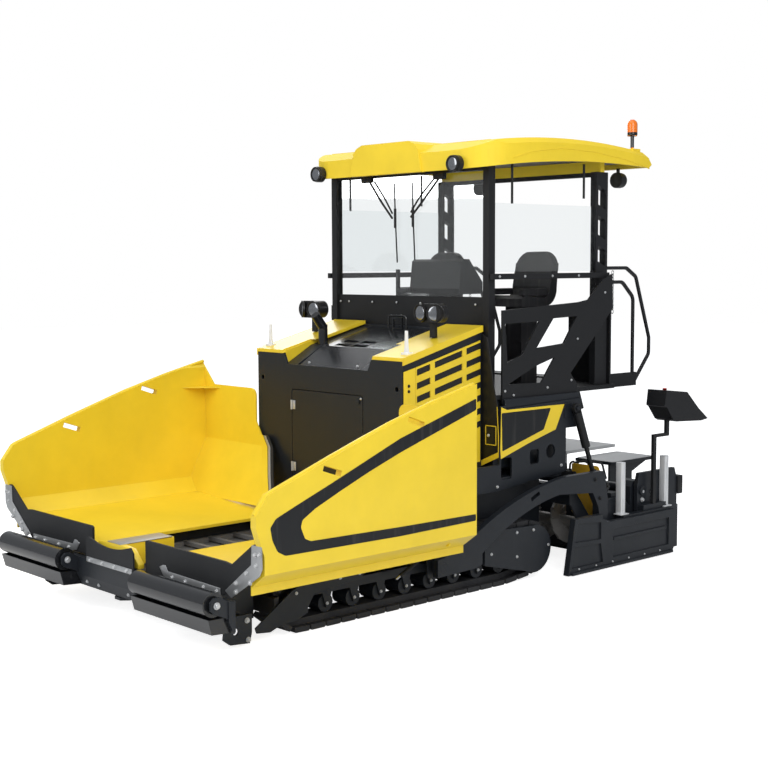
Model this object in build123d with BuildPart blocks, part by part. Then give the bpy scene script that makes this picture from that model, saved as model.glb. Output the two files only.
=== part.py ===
from build123d import *
import math
import os

os.makedirs("parts", exist_ok=True)

# Tracked road paver, in millimetres: +X is the machine's left, -Y its front
# (the hopper end) and +Z up. The origin is on the ground, midway between the
# push rollers and the rear walkway, on the machine's centre plane.

# ---- driving dimensions ------------------------------------------------------
overall_front = 3020          # centre plane to the foremost face of the push rollers
overall_rear = 3020           # centre plane to the rear edge of the walkway
free_gap = 8                  # least clearance between pieces that move past each other
pin_sides = 12                # flats of the small pins and of the eyes cut for them
seat_gap = 2                  # between fixed pieces that only stand beside each other
pin_gap = 1.0                 # radial clearance of a hinge pin in its eye
screed_ground_gap = 10        # height of the screed plates above the ground when parked

# tracks
track_outer = 1250            # centre plane to the outer face of the pads
pad_width = 320
pad_thick = 42
pad_slot = 12                 # gap between one pad and the next
pad_count = 41
pad_bevel = 9                 # chamfer of the pads' ground edges
belt_width = 190
belt_thick = 48
idler_y = -1960
idler_radius = 245            # over the pads
drive_y = 683
drive_radius = 248
drive_lift = 36               # the pads pass this high under the drive
last_roller_y = 350
roller_count = 8
roller_radius = 74
roller_width = 170
roller_sides = 14
frame_plate = 20
guard_plate = 14              # swept guard beside the idler

# lower chassis
track_gap = 50                # between the hull and the pads
chassis_low = 150
chassis_top = 500             # under the wing floors
nose_front = -2700
nose_rear = -2290
nose_half = 1120
nose_top = 420
body_front = -600             # front face of the engine body
body_rear = 1215              # rear face of the tractor body
body_deck = 1000              # top of the body under the engine
side_inset = 50               # from the pads' outer face in to the side plates
side_plate = 20
tunnel_half = 515
tunnel_floor = 330
tunnel_roof = 840
eye_radius = 26               # lashing and towing eyes

# push rollers
push_radius = 90
push_z = 432
push_inner = 543
push_outer = 1513
push_pin_radius = 20
push_drop = 130               # depth of the guard behind the rollers

# hopper wings
wing_outer = 1860
wing_skin = 60                # depth of the hollow outer panel
wing_front = -2742
wing_rear = -645
wing_inner = 390              # inner edge of the floor
wing_floor_inner = 560        # top of the floor at its inner edge
wing_floor_outer = 620        # top of the floor at the foot of the side
floor_plate = 25
wing_foot_run = 230           # from the outer face in to where the floor bends up
wing_side_foot = 740          # height where that bend meets the side
wing_ridge = 1860             # height of the side at the rear
wing_nose = 58                # how far the side's rounded front bulges past the floor
wing_back_top = 1640          # top of the back wall inside the side
wing_back_run = 210           # the back wall rises to the ridge over this width
wing_pin_x = 450
wing_pin_z = 500
wing_pin_radius = 16
apron_thick = 20

# engine hood
hood_half = 985
hood_rear = 330
hood_front_top = 1985
hood_rear_top = 2225
hood_wall = 22
hood_side_thick = 9           # louvred side panels on the hood's walls
door_half = 490
door_low = 800
door_high = 1670
lid_half = 430
cheek_inner = 545             # inner edge of the yellow cheeks beside the sunk lid
cheek_outer = 1000
cheek_thick = 30
louvre_pitch = 114
louvre_high = 56
louvre_rows = 7

# platform and canopy
deck_top = 1650
deck_plate = 40
deck_rear = 2000
post_width = 70
post_front_y = 385            # middle of the front posts
post_rear_y = 1890
post_rear_deep = 170
sill_z = 2500
pane_thick = 8
canopy_half = 1190
canopy_front = 105
canopy_corner = 370           # radius of the front corners in plan
canopy_rear = 2460
canopy_low = 3640
canopy_top = 3900
canopy_skin = 30
beacon_x = 1100
beacon_y = 2270

# screed and its arms
arm_gap = 60                  # from the pads' outer face out to the tow arms
arm_plate = 60
tow_y = -520
tow_z = 300
tow_pin_radius = 35
arm_rear = 1612               # where the arm meets the screed's bracket
screed_front = 1790
screed_rear = 2290
screed_side_gap = 40          # from the screed's end in to the arm's inner face
extension_rear = 2760
extension_inner = 60          # inner end of the parked extensions
guide_y = 2180
guide_z = 630
guide_radius = 45
walkway_top = 830
walkway_plate = 30
end_plate_gap = 30            # from the arm's outer face out to the end plate
end_plate_thick = 60

# augers
auger_y = 1500
auger_z = 370
auger_radius = 190
auger_shaft = 60
auger_pitch = 320
blades_per_turn = 12
flight_thick = 20
auger_inner = 110

# lift cylinders
lift_top_y = 1290
lift_top_z = 1480
lift_foot_y = 1540
lift_foot_z = 850
lift_pin_radius = 20
lift_barrel = 40
lift_rod = 22

# widths that follow from the tracks
track_inner = track_outer - pad_width
track_mid = track_outer - pad_width / 2
chassis_half = track_inner - track_gap
side_half = track_outer - side_inset
arm_inner = track_outer + arm_gap
arm_outer = arm_inner + arm_plate
lift_x = (side_half + arm_inner) / 2
skirt_half = chassis_half - 10         # the hood's front skirt stops short of the tow brackets
deck_half = side_half - 50
post_half = deck_half - 100            # outer faces of the platform's posts
screed_half = arm_inner - screed_side_gap
end_plate_inner = arm_outer + end_plate_gap
wing_foot = wing_outer - wing_foot_run
wing_panel = wing_outer - wing_skin

# ---- helpers -----------------------------------------------------------------


def write_pair(left, name):
    """Write a left-hand piece and its mirror image as two sub-parts."""
    left.part.label = f"{name}_left"
    export_step(left.part, f"parts/{name}_left.step")
    with BuildPart() as right:
        mirror(left.part, about=Plane.YZ)
    right.part.label = f"{name}_right"
    export_step(right.part, f"parts/{name}_right.step")


def at_x(distance):
    """A plane across the machine: sketch (y, z), normal +X."""
    return Plane.YZ.offset(distance)


def at_y(distance):
    """A plane facing forward: sketch (x, z), normal -Y."""
    return Plane.XZ.offset(-distance)


def at_z(distance):
    """A level plane: sketch (x, y), normal +Z."""
    return Plane.XY.offset(distance)


# ---- tracks ------------------------------------------------------------------
# Idler, last ground roller and raised drive are three circles; the hull round
# them is the line that the pads, the belt and the rollers share.
drive_z = drive_radius + drive_lift
pin_inset = pad_thick + belt_thick / 2
belt_face = track_mid - belt_width / 2


def loop_sketch(inset, loop_x):
    """The track's side outline at loop_x, set in from the pads' outer faces."""
    with BuildSketch(at_x(loop_x)) as loop:
        with Locations((idler_y, idler_radius), (last_roller_y, idler_radius)):
            Circle(idler_radius - inset)
        with Locations((drive_y, drive_z)):
            Circle(drive_radius - inset)
        make_hull()
    return loop.sketch


pin_path = loop_sketch(pin_inset, 0).faces()[0].outer_wire()
pins = [pin_path @ (index / pad_count) for index in range(pad_count)]
pad_length = pin_path.length / pad_count - pad_slot
loop_middle = Vector(0, (idler_y + drive_y) / 2, idler_radius)
pad_places = []
for index in range(pad_count):
    middle = (pins[index - 1] + pins[index]) / 2
    along = pins[index] - pins[index - 1]
    outward = (middle - loop_middle) - along * ((middle - loop_middle).dot(along) / along.dot(along))
    facing = (1, 0, 0) if along.cross(outward).X > 0 else (-1, 0, 0)
    pad_places.append(Plane((track_mid, middle.Y, middle.Z), x_dir=along, z_dir=facing))

# One pad in profile: a flat rubber-faced shoe with bevelled ground edges.
with BuildSketch(Plane.XY) as pad_profile:
    half_pad = pad_length / 2
    pad_face = pin_inset
    pad_back = pin_inset - pad_thick
    with BuildLine():
        Polyline((-half_pad, pad_back), (half_pad, pad_back), (half_pad, pad_face - pad_bevel),
                 (half_pad - pad_bevel, pad_face), (pad_bevel - half_pad, pad_face),
                 (-half_pad, pad_face - pad_bevel), close=True)
    make_face()

with BuildPart() as track_left:
    extrude(loop_sketch(pad_thick - 4, belt_face), amount=belt_width)
    extrude(loop_sketch(pad_thick + belt_thick, belt_face), amount=belt_width, mode=Mode.SUBTRACT)
    for pad_plane in pad_places:
        with BuildSketch(pad_plane):
            add(pad_profile.sketch)
        extrude(amount=pad_width / 2, both=True)
write_pair(track_left, "track")

# Track frame: two side plates with a hanger at each ground roller, the beam
# between them, a swept guard beside the idler, top rollers and the flat drive
# cover with its round end, all in one weldment.
run_height = pad_thick + belt_thick
roller_z = run_height + roller_radius + 1
roller_first = idler_y + 330
roller_step = (last_roller_y - roller_first) / (roller_count - 1)
beam_low = run_height + 2 * roller_radius + 12
beam_high = beam_low + 72
beam_front = roller_first - 130
beam_rear = last_roller_y + 110
top_roller_radius = 36
top_roller_z = 2 * idler_radius - run_height - top_roller_radius - 2
frame_half = roller_width / 2 + frame_plate
cover_inner = track_outer + free_gap
cover_outer = arm_inner - free_gap
cover_radius = 212
wheel_faces = [(idler_y, idler_radius, idler_radius - run_height - 1),
               (drive_y, drive_z, drive_radius - run_height - 1)]
with BuildPart() as track_frame_left:
    for plate_x in (track_mid - frame_half, track_mid + frame_half - frame_plate):
        with BuildSketch(at_x(plate_x)):
            with BuildLine():
                Polyline((beam_front, beam_low), (beam_rear, beam_low), (beam_rear, beam_high - 30),
                         (beam_rear - 60, beam_high), (beam_front + 60, beam_high),
                         (idler_y - 60, beam_high - 10),
                         (idler_y - 90, idler_radius - 40), (idler_y + 40, idler_radius - 60), close=True)
            make_face()
            for index in range(roller_count):
                with Locations((roller_first + index * roller_step, (roller_z - 32 + beam_low) / 2)):
                    Trapezoid(96, beam_low - roller_z + 36, 72, rotation=180)
        extrude(amount=frame_plate)
    with Locations((track_mid, (beam_front + beam_rear) / 2, (beam_low + beam_high) / 2)):
        Box(roller_width, beam_rear - beam_front - 60, beam_high - beam_low - 16)
    with Locations(((chassis_half + track_mid - frame_half + 2) / 2,
                   (idler_y + drive_y) / 2, beam_high - 30)):
        Box(track_mid - frame_half + 2 - chassis_half, 1700, 50)
    for index in range(roller_count):
        with BuildSketch(at_x(track_mid)):
            with Locations((roller_first + index * roller_step, roller_z)):
                RegularPolygon(roller_radius, roller_sides)
        extrude(amount=roller_width / 2, both=True)
    for top_y in (-1250, -350):
        with BuildSketch(at_x(track_mid)):
            with Locations((top_y, top_roller_z)):
                RegularPolygon(top_roller_radius, roller_sides)
        extrude(amount=roller_width / 2, both=True)
        with Locations((track_mid, top_y, (beam_high + top_roller_z) / 2 - 10)):
            Box(roller_width + 10, 50, top_roller_z - beam_high)
    for wheel_y, wheel_z, wheel_radius in wheel_faces:
        with BuildSketch(at_x(track_mid)):
            with Locations((wheel_y, wheel_z)):
                RegularPolygon(wheel_radius, 2 * roller_sides)
        extrude(amount=roller_width / 2, both=True)
    with Locations((track_mid, (drive_y + beam_rear - 60) / 2, beam_high - 36)):
        Box(60, drive_y - beam_rear + 60, 50)
    with BuildSketch(at_x(cover_inner)):
        with Locations((drive_y, drive_z - 7)):
            Circle(cover_radius)
        with BuildLine():
            Polyline((40, drive_z - 66), (drive_y, drive_z - 7 - cover_radius + 1),
                     (drive_y, drive_z + cover_radius - 12),
                     (40, drive_z + 230), close=True)
        make_face()
    extrude(amount=cover_outer - cover_inner)
    with BuildSketch(at_x(cover_inner)):
        with BuildLine():
            Polyline((-2370, 75), (-2385, 115), (-2040, 340), (-1910, 385), (-1330, 408), (-1330, 330),
                     (-1820, 290),
                     (-1884, 187), (-1884, 150), (-2007, 103), (-2150, 98), (-2246, 62), close=True)
        make_face()
    extrude(amount=guard_plate)
    for brace_y in (beam_front + 130, beam_rear - 150):
        with Locations(((track_mid + frame_half - 2 + cover_inner + 2) / 2, brace_y,
                       (beam_low + beam_high) / 2 + 25)):
            Box(cover_inner - track_mid - frame_half + 6, 160, 40)
write_pair(track_frame_left, "track_frame")

# ---- chassis -----------------------------------------------------------------
# One welded hull: a nose box ahead of the tracks, a belly between them and the
# engine body, with the conveyor tunnel running the whole length.
slide_inner = track_outer + free_gap
slide_outer = slide_inner + 11
wing_lugs = (-2400, -1000)
lug_half = 60                 # half length of a wing's hinge eye
scraper_x = arm_inner - 20
tow_eye_plate = 24
with BuildPart() as main_frame:
    with BuildSketch(at_x(0)):
        with BuildLine():
            Polyline((nose_rear, chassis_low), (nose_rear, chassis_top), (body_front, chassis_top),
                     (body_front, body_deck), (body_rear, body_deck), (body_rear, chassis_low), close=True)
        make_face()
    extrude(amount=chassis_half, both=True)
    with BuildSketch(at_x(0)):
        with BuildLine():
            Polyline((nose_front, chassis_low + 80), (nose_front + 150, chassis_low),
                     (nose_rear + 2, chassis_low),
                     (nose_rear + 2, nose_top), (nose_front, nose_top), close=True)
        make_face()
    extrude(amount=nose_half, both=True)
    with BuildSketch(at_y(nose_front + 20)):
        with Locations((0, (tunnel_floor + nose_top) / 2 + 100)):
            Rectangle(2 * tunnel_half, nose_top - tunnel_floor + 200)
    extrude(amount=nose_front - nose_rear - 30, mode=Mode.SUBTRACT)
    with BuildSketch(at_y(nose_rear - 10)):
        with Locations((0, (tunnel_floor + tunnel_roof) / 2)):
            Rectangle(2 * tunnel_half, tunnel_roof - tunnel_floor)
    extrude(amount=nose_rear - body_rear - 20, mode=Mode.SUBTRACT)
    for sign in (-1, 1):
        # hinge pins of the hopper wings between their lugs
        for lug_y in wing_lugs:
            with BuildSketch(at_y(lug_y)):
                with Locations((sign * wing_pin_x, wing_pin_z)):
                    RegularPolygon(wing_pin_radius, pin_sides)
            extrude(amount=lug_half + 40, both=True)
            with Locations((sign * (wing_pin_x + 40), lug_y - lug_half - 30, wing_pin_z - 19),
                           (sign * (wing_pin_x + 40), lug_y + lug_half + 30, wing_pin_z - 19)):
                Box(110, 20, 74)
        with Locations((sign * (tunnel_half + 15), wing_lugs[0], chassis_top - 35)):
            Box(30, 2 * lug_half + 80, 100)
        # slide of the tow point with its pin
        with Locations((sign * (chassis_half + slide_inner) / 2, tow_y, 680)):
            Box(slide_inner - chassis_half + 4, 200, 140)
        with BuildSketch(at_x(sign * slide_inner)):
            with BuildLine():
                Polyline((tow_y - 90, tow_z - 90), (tow_y + 80, tow_z - 90), (tow_y + 100, 600),
                         (tow_y + 100, 750),
                         (tow_y - 100, 750), (tow_y - 100, 560), close=True)
            make_face()
        extrude(amount=sign * (slide_outer - slide_inner))
        with BuildSketch(at_x(sign * slide_inner)):
            with Locations((tow_y, tow_z)):
                RegularPolygon(tow_pin_radius, 2 * pin_sides)
        extrude(amount=sign * (arm_outer - slide_inner))
        # deflector plate ahead of the track, with a lashing eye behind it
        with Locations((sign * (nose_half + scraper_x) / 2, nose_front + 190, 200)):
            Box(scraper_x - nose_half + 4, 60, 60)
        with BuildSketch(at_x(sign * scraper_x)):
            with BuildLine():
                Polyline((-2700, 90), (-2680, 250), (-2445, 250), (-2445, 110), (-2465, 30),
                         (-2640, 45), close=True)
            make_face()
            with Locations((-2590, 135)):
                Circle(eye_radius, mode=Mode.SUBTRACT)
        extrude(amount=sign * 20)
    # towing eye under the middle of the nose
    with BuildSketch(at_z(chassis_low + 20)):
        with BuildLine():
            Polyline((-90, nose_front + 140), (-90, nose_front - 20), (-40, nose_front - 80),
                     (40, nose_front - 80),
                     (90, nose_front - 20), (90, nose_front + 140), close=True)
        make_face()
        with Locations((0, nose_front - 30)):
            Circle(eye_radius, mode=Mode.SUBTRACT)
    extrude(amount=tow_eye_plate)
main_frame.part.label = "main_frame"
export_step(main_frame.part, "parts/main_frame.step")

# Housing between the side plates, under the operators' platform.
housing_half = side_half - side_plate - 80
with BuildPart() as rear_housing:
    with BuildSketch(at_x(0)):
        with BuildLine():
            Polyline((hood_rear + 20, body_deck + seat_gap), (body_rear - 20, body_deck + seat_gap),
                     (body_rear - 20, 1350), (body_rear - 90, deck_top - deck_plate - seat_gap),
                     (hood_rear + 20, deck_top - deck_plate - seat_gap), close=True)
        make_face()
    extrude(amount=housing_half, both=True)
rear_housing.part.label = "rear_housing"
export_step(rear_housing.part, "parts/rear_housing.step")

# Dark side plates with service holes, lower edge lifting to the rear. A shelf
# ties each to the hull, and a raised boss carries the lift cylinder's pin.
bracket_face = side_half + 8
with BuildPart() as side_panel_left:
    with BuildSketch(at_x(side_half - side_plate)):
        with BuildLine():
            Polyline((-540, 820), (300, 820), (820, 872), (body_rear, 905), (body_rear, 1300), (1430, 1300),
                     (1430, 1560), (420, 1530), (395, 1560), (345, 1560), (330, body_deck + 50),
                     (-540, body_deck + 50),
                     close=True)
        make_face()
        with Locations((418, 1010)):
            RectangleRounded(140, 190, 20, mode=Mode.SUBTRACT)
        with Locations((785, 1078)):
            RectangleRounded(120, 130, 25, mode=Mode.SUBTRACT)
        with Locations((1004, 1108)):
            RegularPolygon(62, 2 * pin_sides, mode=Mode.SUBTRACT)
    extrude(amount=side_plate)
    with BuildSketch(at_x(chassis_half)):
        with Locations((330, 900)):
            Rectangle(1700, 60)
    extrude(amount=side_half - side_plate - chassis_half)
    with Locations((side_half + 4, lift_top_y - 30, lift_top_z - 20)):
        Box(8, 150, 130)
    with BuildSketch(at_x(bracket_face)):
        with Locations((lift_top_y, lift_top_z)):
            RegularPolygon(lift_pin_radius, pin_sides)
    extrude(amount=lift_x + 30 - bracket_face)
write_pair(side_panel_left, "side_panel")

# ---- push rollers and aprons ---------------------------------------------------
push_y = push_radius - overall_front
carrier_front = push_y + push_radius + free_gap
carrier_rear = nose_front - 75
carrier_bracket = 20
with BuildPart() as push_carrier:
    with BuildSketch(at_x(0)):
        with BuildLine():
            Polyline((carrier_front, push_z - push_drop), (carrier_front, push_z + 13),
                     (carrier_rear, push_z + 13),
                     (carrier_rear, push_z - push_drop - 80),
                     (carrier_rear - 15, push_z - push_drop - 95), close=True)
        make_face()
    extrude(amount=push_outer + 50, both=True)
    with Locations((0, (nose_front + carrier_rear) / 2, 330)):
        Box(500, nose_front - carrier_rear, 160)
    for bracket_x in (push_inner - 30, push_outer + 30):
        for sign in (-1, 1):
            with BuildSketch(at_x(sign * bracket_x)):
                with BuildLine():
                    Polyline((push_y - 50, push_z + 25), (push_y - 50, push_z - 30),
                             (push_y - 20, push_z - 60),
                             (carrier_front + 5, push_z - 112), (carrier_front + 5, push_z + 13),
                             (push_y + 30, push_z + 55), (push_y - 20, push_z + 55), close=True)
                make_face()
                with Locations((push_y, push_z)):
                    RegularPolygon(push_pin_radius + pin_gap, pin_sides, major_radius=False,
                                   mode=Mode.SUBTRACT)
            extrude(amount=carrier_bracket / 2, both=True)
    with Locations((0, carrier_front + 20, push_z + 18)):
        Box(640, 40, 30)
push_carrier.part.label = "push_carrier"
export_step(push_carrier.part, "parts/push_carrier.step")

with BuildPart() as push_roller_left:
    with BuildSketch(at_x(push_inner)):
        with Locations((push_y, push_z)):
            Circle(push_radius)
    extrude(amount=push_outer - push_inner)
    with BuildSketch(at_x(push_inner - 42)):
        with Locations((push_y, push_z)):
            RegularPolygon(push_pin_radius, pin_sides)
    extrude(amount=push_outer - push_inner + 84)
write_pair(push_roller_left, "push_roller")

flap_half = 350
with BuildPart() as centre_flap:
    with BuildSketch(at_y(carrier_front - seat_gap)):
        with BuildLine():
            Polyline((-flap_half, push_z + 4), (flap_half, push_z + 4), (flap_half, 600),
                     (flap_half - 40, 640),
                     (flap_half - 150, 612))
            ThreePointArc((flap_half - 150, 612), (0, 590), (150 - flap_half, 612))
            Polyline((150 - flap_half, 612), (40 - flap_half, 640), (-flap_half, 600),
                     (-flap_half, push_z + 4))
        make_face()
    extrude(amount=14)
centre_flap.part.label = "centre_flap"
export_step(centre_flap.part, "parts/centre_flap.step")

# ---- hopper wings --------------------------------------------------------------
# A wing is a bent floor with a lower lip, a hollow-looking side with a rolled
# nose and a falling ridge, and a back wall that leans forward to the floor.
# Inside edges of the back wall and the side follow the same bends.
back_thick = 14
back_inner = 560
lip_x = wing_foot + 70
lip_low = wing_floor_outer - 120
lip_plate = 12
ridge_line = [(wing_rear, wing_ridge), (-1556, wing_ridge - 241), (-2113, wing_ridge - 428),
              (wing_front + 35, 1221)]
nose_y = wing_front - wing_nose
with BuildPart() as hopper_wing_left:
    with BuildSketch(at_y(wing_rear)):
        with BuildLine():
            Polyline((wing_inner, wing_floor_inner - floor_plate),
                     (lip_x, wing_floor_outer - floor_plate), (lip_x, lip_low), (lip_x + lip_plate, lip_low),
                     (lip_x + lip_plate, lip_low + 60), (wing_outer, wing_side_foot - 75),
                     (wing_outer, wing_side_foot + 60),
                     (wing_panel, wing_side_foot + 60), (wing_panel, wing_side_foot),
                     (wing_foot, wing_floor_outer),
                     (wing_inner, wing_floor_inner), close=True)
        make_face()
    extrude(amount=wing_rear - wing_front)
    with BuildSketch(at_x(wing_panel)) as side_sheet:
        with BuildLine():
            Line((wing_rear, wing_side_foot - 20), ridge_line[0])
            ThreePointArc(ridge_line[0], ridge_line[1], ridge_line[2])
            Polyline(ridge_line[2], ridge_line[3], (nose_y - 12, 1085), (nose_y - 12, 1000),
                     (wing_front - 30, 880),
                     (wing_front, 800), (wing_front, wing_side_foot - 20), (wing_rear, wing_side_foot - 20))
        make_face()
        fillet(side_sheet.vertices().group_by(Axis.X)[0], radius=40)
        for slot_y, slot_z in ((-1299, 1612), (-2128, 1329)):
            with Locations((slot_y, slot_z)):
                Rectangle(175, 42, rotation=-19, mode=Mode.SUBTRACT)
    extrude(amount=wing_skin)
    # back wall in three leaves
    with BuildSketch(at_x(back_inner)):
        with BuildLine():
            Polyline((-900, wing_floor_outer - 20), (-780, 870), (wing_rear - back_thick, 1110),
                     (wing_rear - back_thick, wing_ridge), (wing_rear, wing_ridge), (wing_rear, 1100),
                     (-766, 860),
                     (-882, wing_floor_outer - 20), close=True)
        make_face()
    extrude(amount=wing_panel - back_inner)
    with BuildSketch(at_y(wing_rear + 10)):
        with BuildLine():
            Polyline((500, 600), (585, 720), (905, 1210), (980, 1330), (980, 2000), (500, 2000), close=True)
        make_face()
        with BuildLine():
            Polyline((980, 1570), (975, 2000), (wing_outer, 2000), (wing_outer, wing_ridge),
                     (wing_outer - wing_back_run, wing_back_top), (1050, wing_back_top))
            ThreePointArc((1050, wing_back_top), (1000, wing_back_top - 22), (980, 1570))
        make_face()
    extrude(amount=270, mode=Mode.SUBTRACT)
    # gusset in the corner of side and back wall
    with BuildSketch(at_z(wing_back_top - 35)):
        with BuildLine():
            Polyline((wing_panel + 2, wing_rear - 2), (1540, wing_rear - 2), (1600, -700),
                     (wing_panel + 2, -920),
                     close=True)
        make_face()
    extrude(amount=8)
    for lug_y in wing_lugs:
        with BuildSketch(at_y(lug_y + lug_half)):
            with BuildLine():
                Polyline((wing_pin_x - 34, 545), (wing_pin_x - 34, wing_pin_z - 12),
                         (wing_pin_x - 14, wing_pin_z - 32),
                         (wing_pin_x + 14, wing_pin_z - 32), (wing_pin_x + 34, wing_pin_z - 12),
                         (wing_pin_x + 34, 545), close=True)
            make_face()
            with Locations((wing_pin_x, wing_pin_z)):
                RegularPolygon(wing_pin_radius + pin_gap, pin_sides, major_radius=False, mode=Mode.SUBTRACT)
        extrude(amount=2 * lug_half)
write_pair(hopper_wing_left, "hopper_wing")

with BuildPart() as hopper_apron_left:
    with BuildSketch(at_y(wing_front)):
        with BuildLine():
            Polyline((wing_inner, 455), (wing_inner, 690), (wing_inner + 20, 700), (wing_foot - 210, 700),
                     (wing_foot - 130, 690), (wing_panel - 60, 860), (wing_panel - 30, 875),
                     (wing_panel - 4, 875),
                     (wing_panel - 4, 760), (wing_foot - 230, 455), close=True)
        make_face()
    extrude(amount=apron_thick)
write_pair(hopper_apron_left, "hopper_apron")

# ---- conveyor ------------------------------------------------------------------
# Two chained bar feeders side by side on one floor plate.
slat_step = 260
slat_count = 14
conveyor_long = 3900
conveyor_mid = -650
with BuildPart() as conveyor:
    with Locations((0, conveyor_mid, tunnel_floor + 55)):
        Box(2 * tunnel_half - 20, conveyor_long, 20)
    with Locations(*[(x, conveyor_mid, tunnel_floor + 82) for x in (35 - tunnel_half, -40, 40, tunnel_half - 35)]):
        Box(40, conveyor_long, 40)
    with Locations(*[(x, conveyor_mid + (index - (slat_count - 1) / 2) * slat_step, tunnel_floor + 95)
                     for index in range(slat_count) for x in (-tunnel_half / 2 - 3, tunnel_half / 2 + 3)]):
        Box(tunnel_half - 95, 40, 34)
conveyor.part.label = "conveyor"
export_step(conveyor.part, "parts/conveyor.step")

# ---- engine and hood -----------------------------------------------------------
with BuildPart() as engine_block:
    with Locations((0, (body_front + hood_rear) / 2, body_deck + 350)):
        Box(1100, 600, 690)
engine_block.part.label = "engine_block"
export_step(engine_block.part, "parts/engine_block.step")

hood_face = body_front - hood_wall
lid_front_z = 1885
lid_rear_z = hood_rear_top - 20
lid_knee_y = -300
lid_knee_z = 2050
lid_plate = 20
pipe_radius = 42
pipe_x = -490
pipe_y = -244
recess_half = cheek_inner + 50
slope = (hood_rear_top - hood_front_top) / (hood_rear - hood_face)
notch_outer = cheek_inner + 55
with BuildPart() as hood_shell:
    with BuildSketch(at_x(0)):
        with BuildLine():
            Polyline((hood_face, body_deck + seat_gap), (hood_rear, body_deck + seat_gap),
                     (hood_rear, hood_rear_top),
                     (hood_face, hood_front_top), close=True)
        make_face()
    extrude(amount=hood_half, both=True)
    with BuildSketch(at_x(0)):
        with BuildLine():
            Polyline((body_front, body_deck), (hood_rear - hood_wall, body_deck),
                     (hood_rear - hood_wall, 2400),
                     (body_front, 2400), close=True)
        make_face()
    extrude(amount=hood_half - hood_wall, both=True, mode=Mode.SUBTRACT)
    # front skirt, open where the conveyor passes
    with BuildSketch(at_y(body_front)):
        with Locations((0, (600 + body_deck + 20) / 2)):
            Rectangle(2 * skirt_half, body_deck - 580)
        with Locations((0, (tunnel_floor + tunnel_roof) / 2)):
            Rectangle(2 * tunnel_half, tunnel_roof - tunnel_floor, mode=Mode.SUBTRACT)
    extrude(amount=hood_wall)
    with BuildSketch(at_y(body_front + 10)):
        with Locations((0, (door_low + door_high) / 2)):
            RectangleRounded(2 * door_half, door_high - door_low, 30)
        with BuildLine():
            Polyline((-notch_outer, 2100), (-notch_outer, hood_front_top + 5), (50 - notch_outer, 1890),
                     (notch_outer - 50, 1890), (notch_outer, hood_front_top + 5),
                     (notch_outer, 2100), close=True)
        make_face()
        with Locations((-915, 1751), (915, 1751)):
            RegularPolygon(22, pin_sides)
    extrude(amount=hood_wall + 40, mode=Mode.SUBTRACT)
    # air openings behind the louvred side panels
    for sign in (-1, 1):
        with BuildSketch(at_x(sign * (hood_half - hood_wall - 10))):
            with BuildLine():
                Polyline((-450, 1130), (280, 1130), (280, 2040), (-450, 1880), close=True)
            make_face()
        extrude(amount=sign * (hood_wall + 20), mode=Mode.SUBTRACT)
    # sunk decks beside the lid, one with the hole of the exhaust pipe
    for sign in (-1, 1):
        with BuildSketch(at_x(sign * (lid_half + free_gap))):
            with BuildLine():
                Polyline((body_front - 1, lid_front_z - lid_plate), (body_front - 1, lid_front_z),
                         (lid_knee_y, lid_knee_z), (hood_rear - hood_wall + 1, lid_rear_z),
                         (hood_rear - hood_wall + 1, lid_rear_z - lid_plate),
                         (lid_knee_y + 5, lid_knee_z - lid_plate),
                         close=True)
            make_face()
        extrude(amount=sign * (recess_half - lid_half - free_gap))
    with BuildSketch(at_z(1950)):
        with Locations((pipe_x, pipe_y)):
            RegularPolygon(pipe_radius + seat_gap, roller_sides, major_radius=False)
    extrude(amount=200, mode=Mode.SUBTRACT)
hood_shell.part.label = "hood_shell"
export_step(hood_shell.part, "parts/hood_shell.step")

# Louvred side panels: three columns of slots that follow the falling roof line,
# the middle column wider than the others.
louvre_columns = [(-387, 158), (-89, 332), (216, 176)]
panel_front = body_front + 121
panel_rear = 301
with BuildPart() as hood_louvres:
    with BuildSketch(at_x(hood_half + 1)) as louvre_sheet:
        with BuildLine():
            Polyline((panel_front, 1060), (panel_front, 1930),
                     (panel_rear, 1930 + slope * (panel_rear - panel_front)),
                     (panel_rear, 1060), close=True)
        make_face()
        for column_y, column_wide in louvre_columns:
            for row in range(louvre_rows):
                slot_low = 1855 - row * louvre_pitch + slope * (column_y - column_wide / 2 - panel_front)
                with BuildLine():
                    Polyline((column_y - column_wide / 2, slot_low),
                             (column_y + column_wide / 2, slot_low + slope * column_wide),
                             (column_y + column_wide / 2, slot_low + slope * column_wide + louvre_high),
                             (column_y - column_wide / 2, slot_low + louvre_high), close=True)
                make_face(mode=Mode.SUBTRACT)
    extrude(amount=hood_side_thick)
    mirror(about=Plane.YZ)
hood_louvres.part.label = "hood_louvres"
export_step(hood_louvres.part, "parts/hood_louvres.step")

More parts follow.
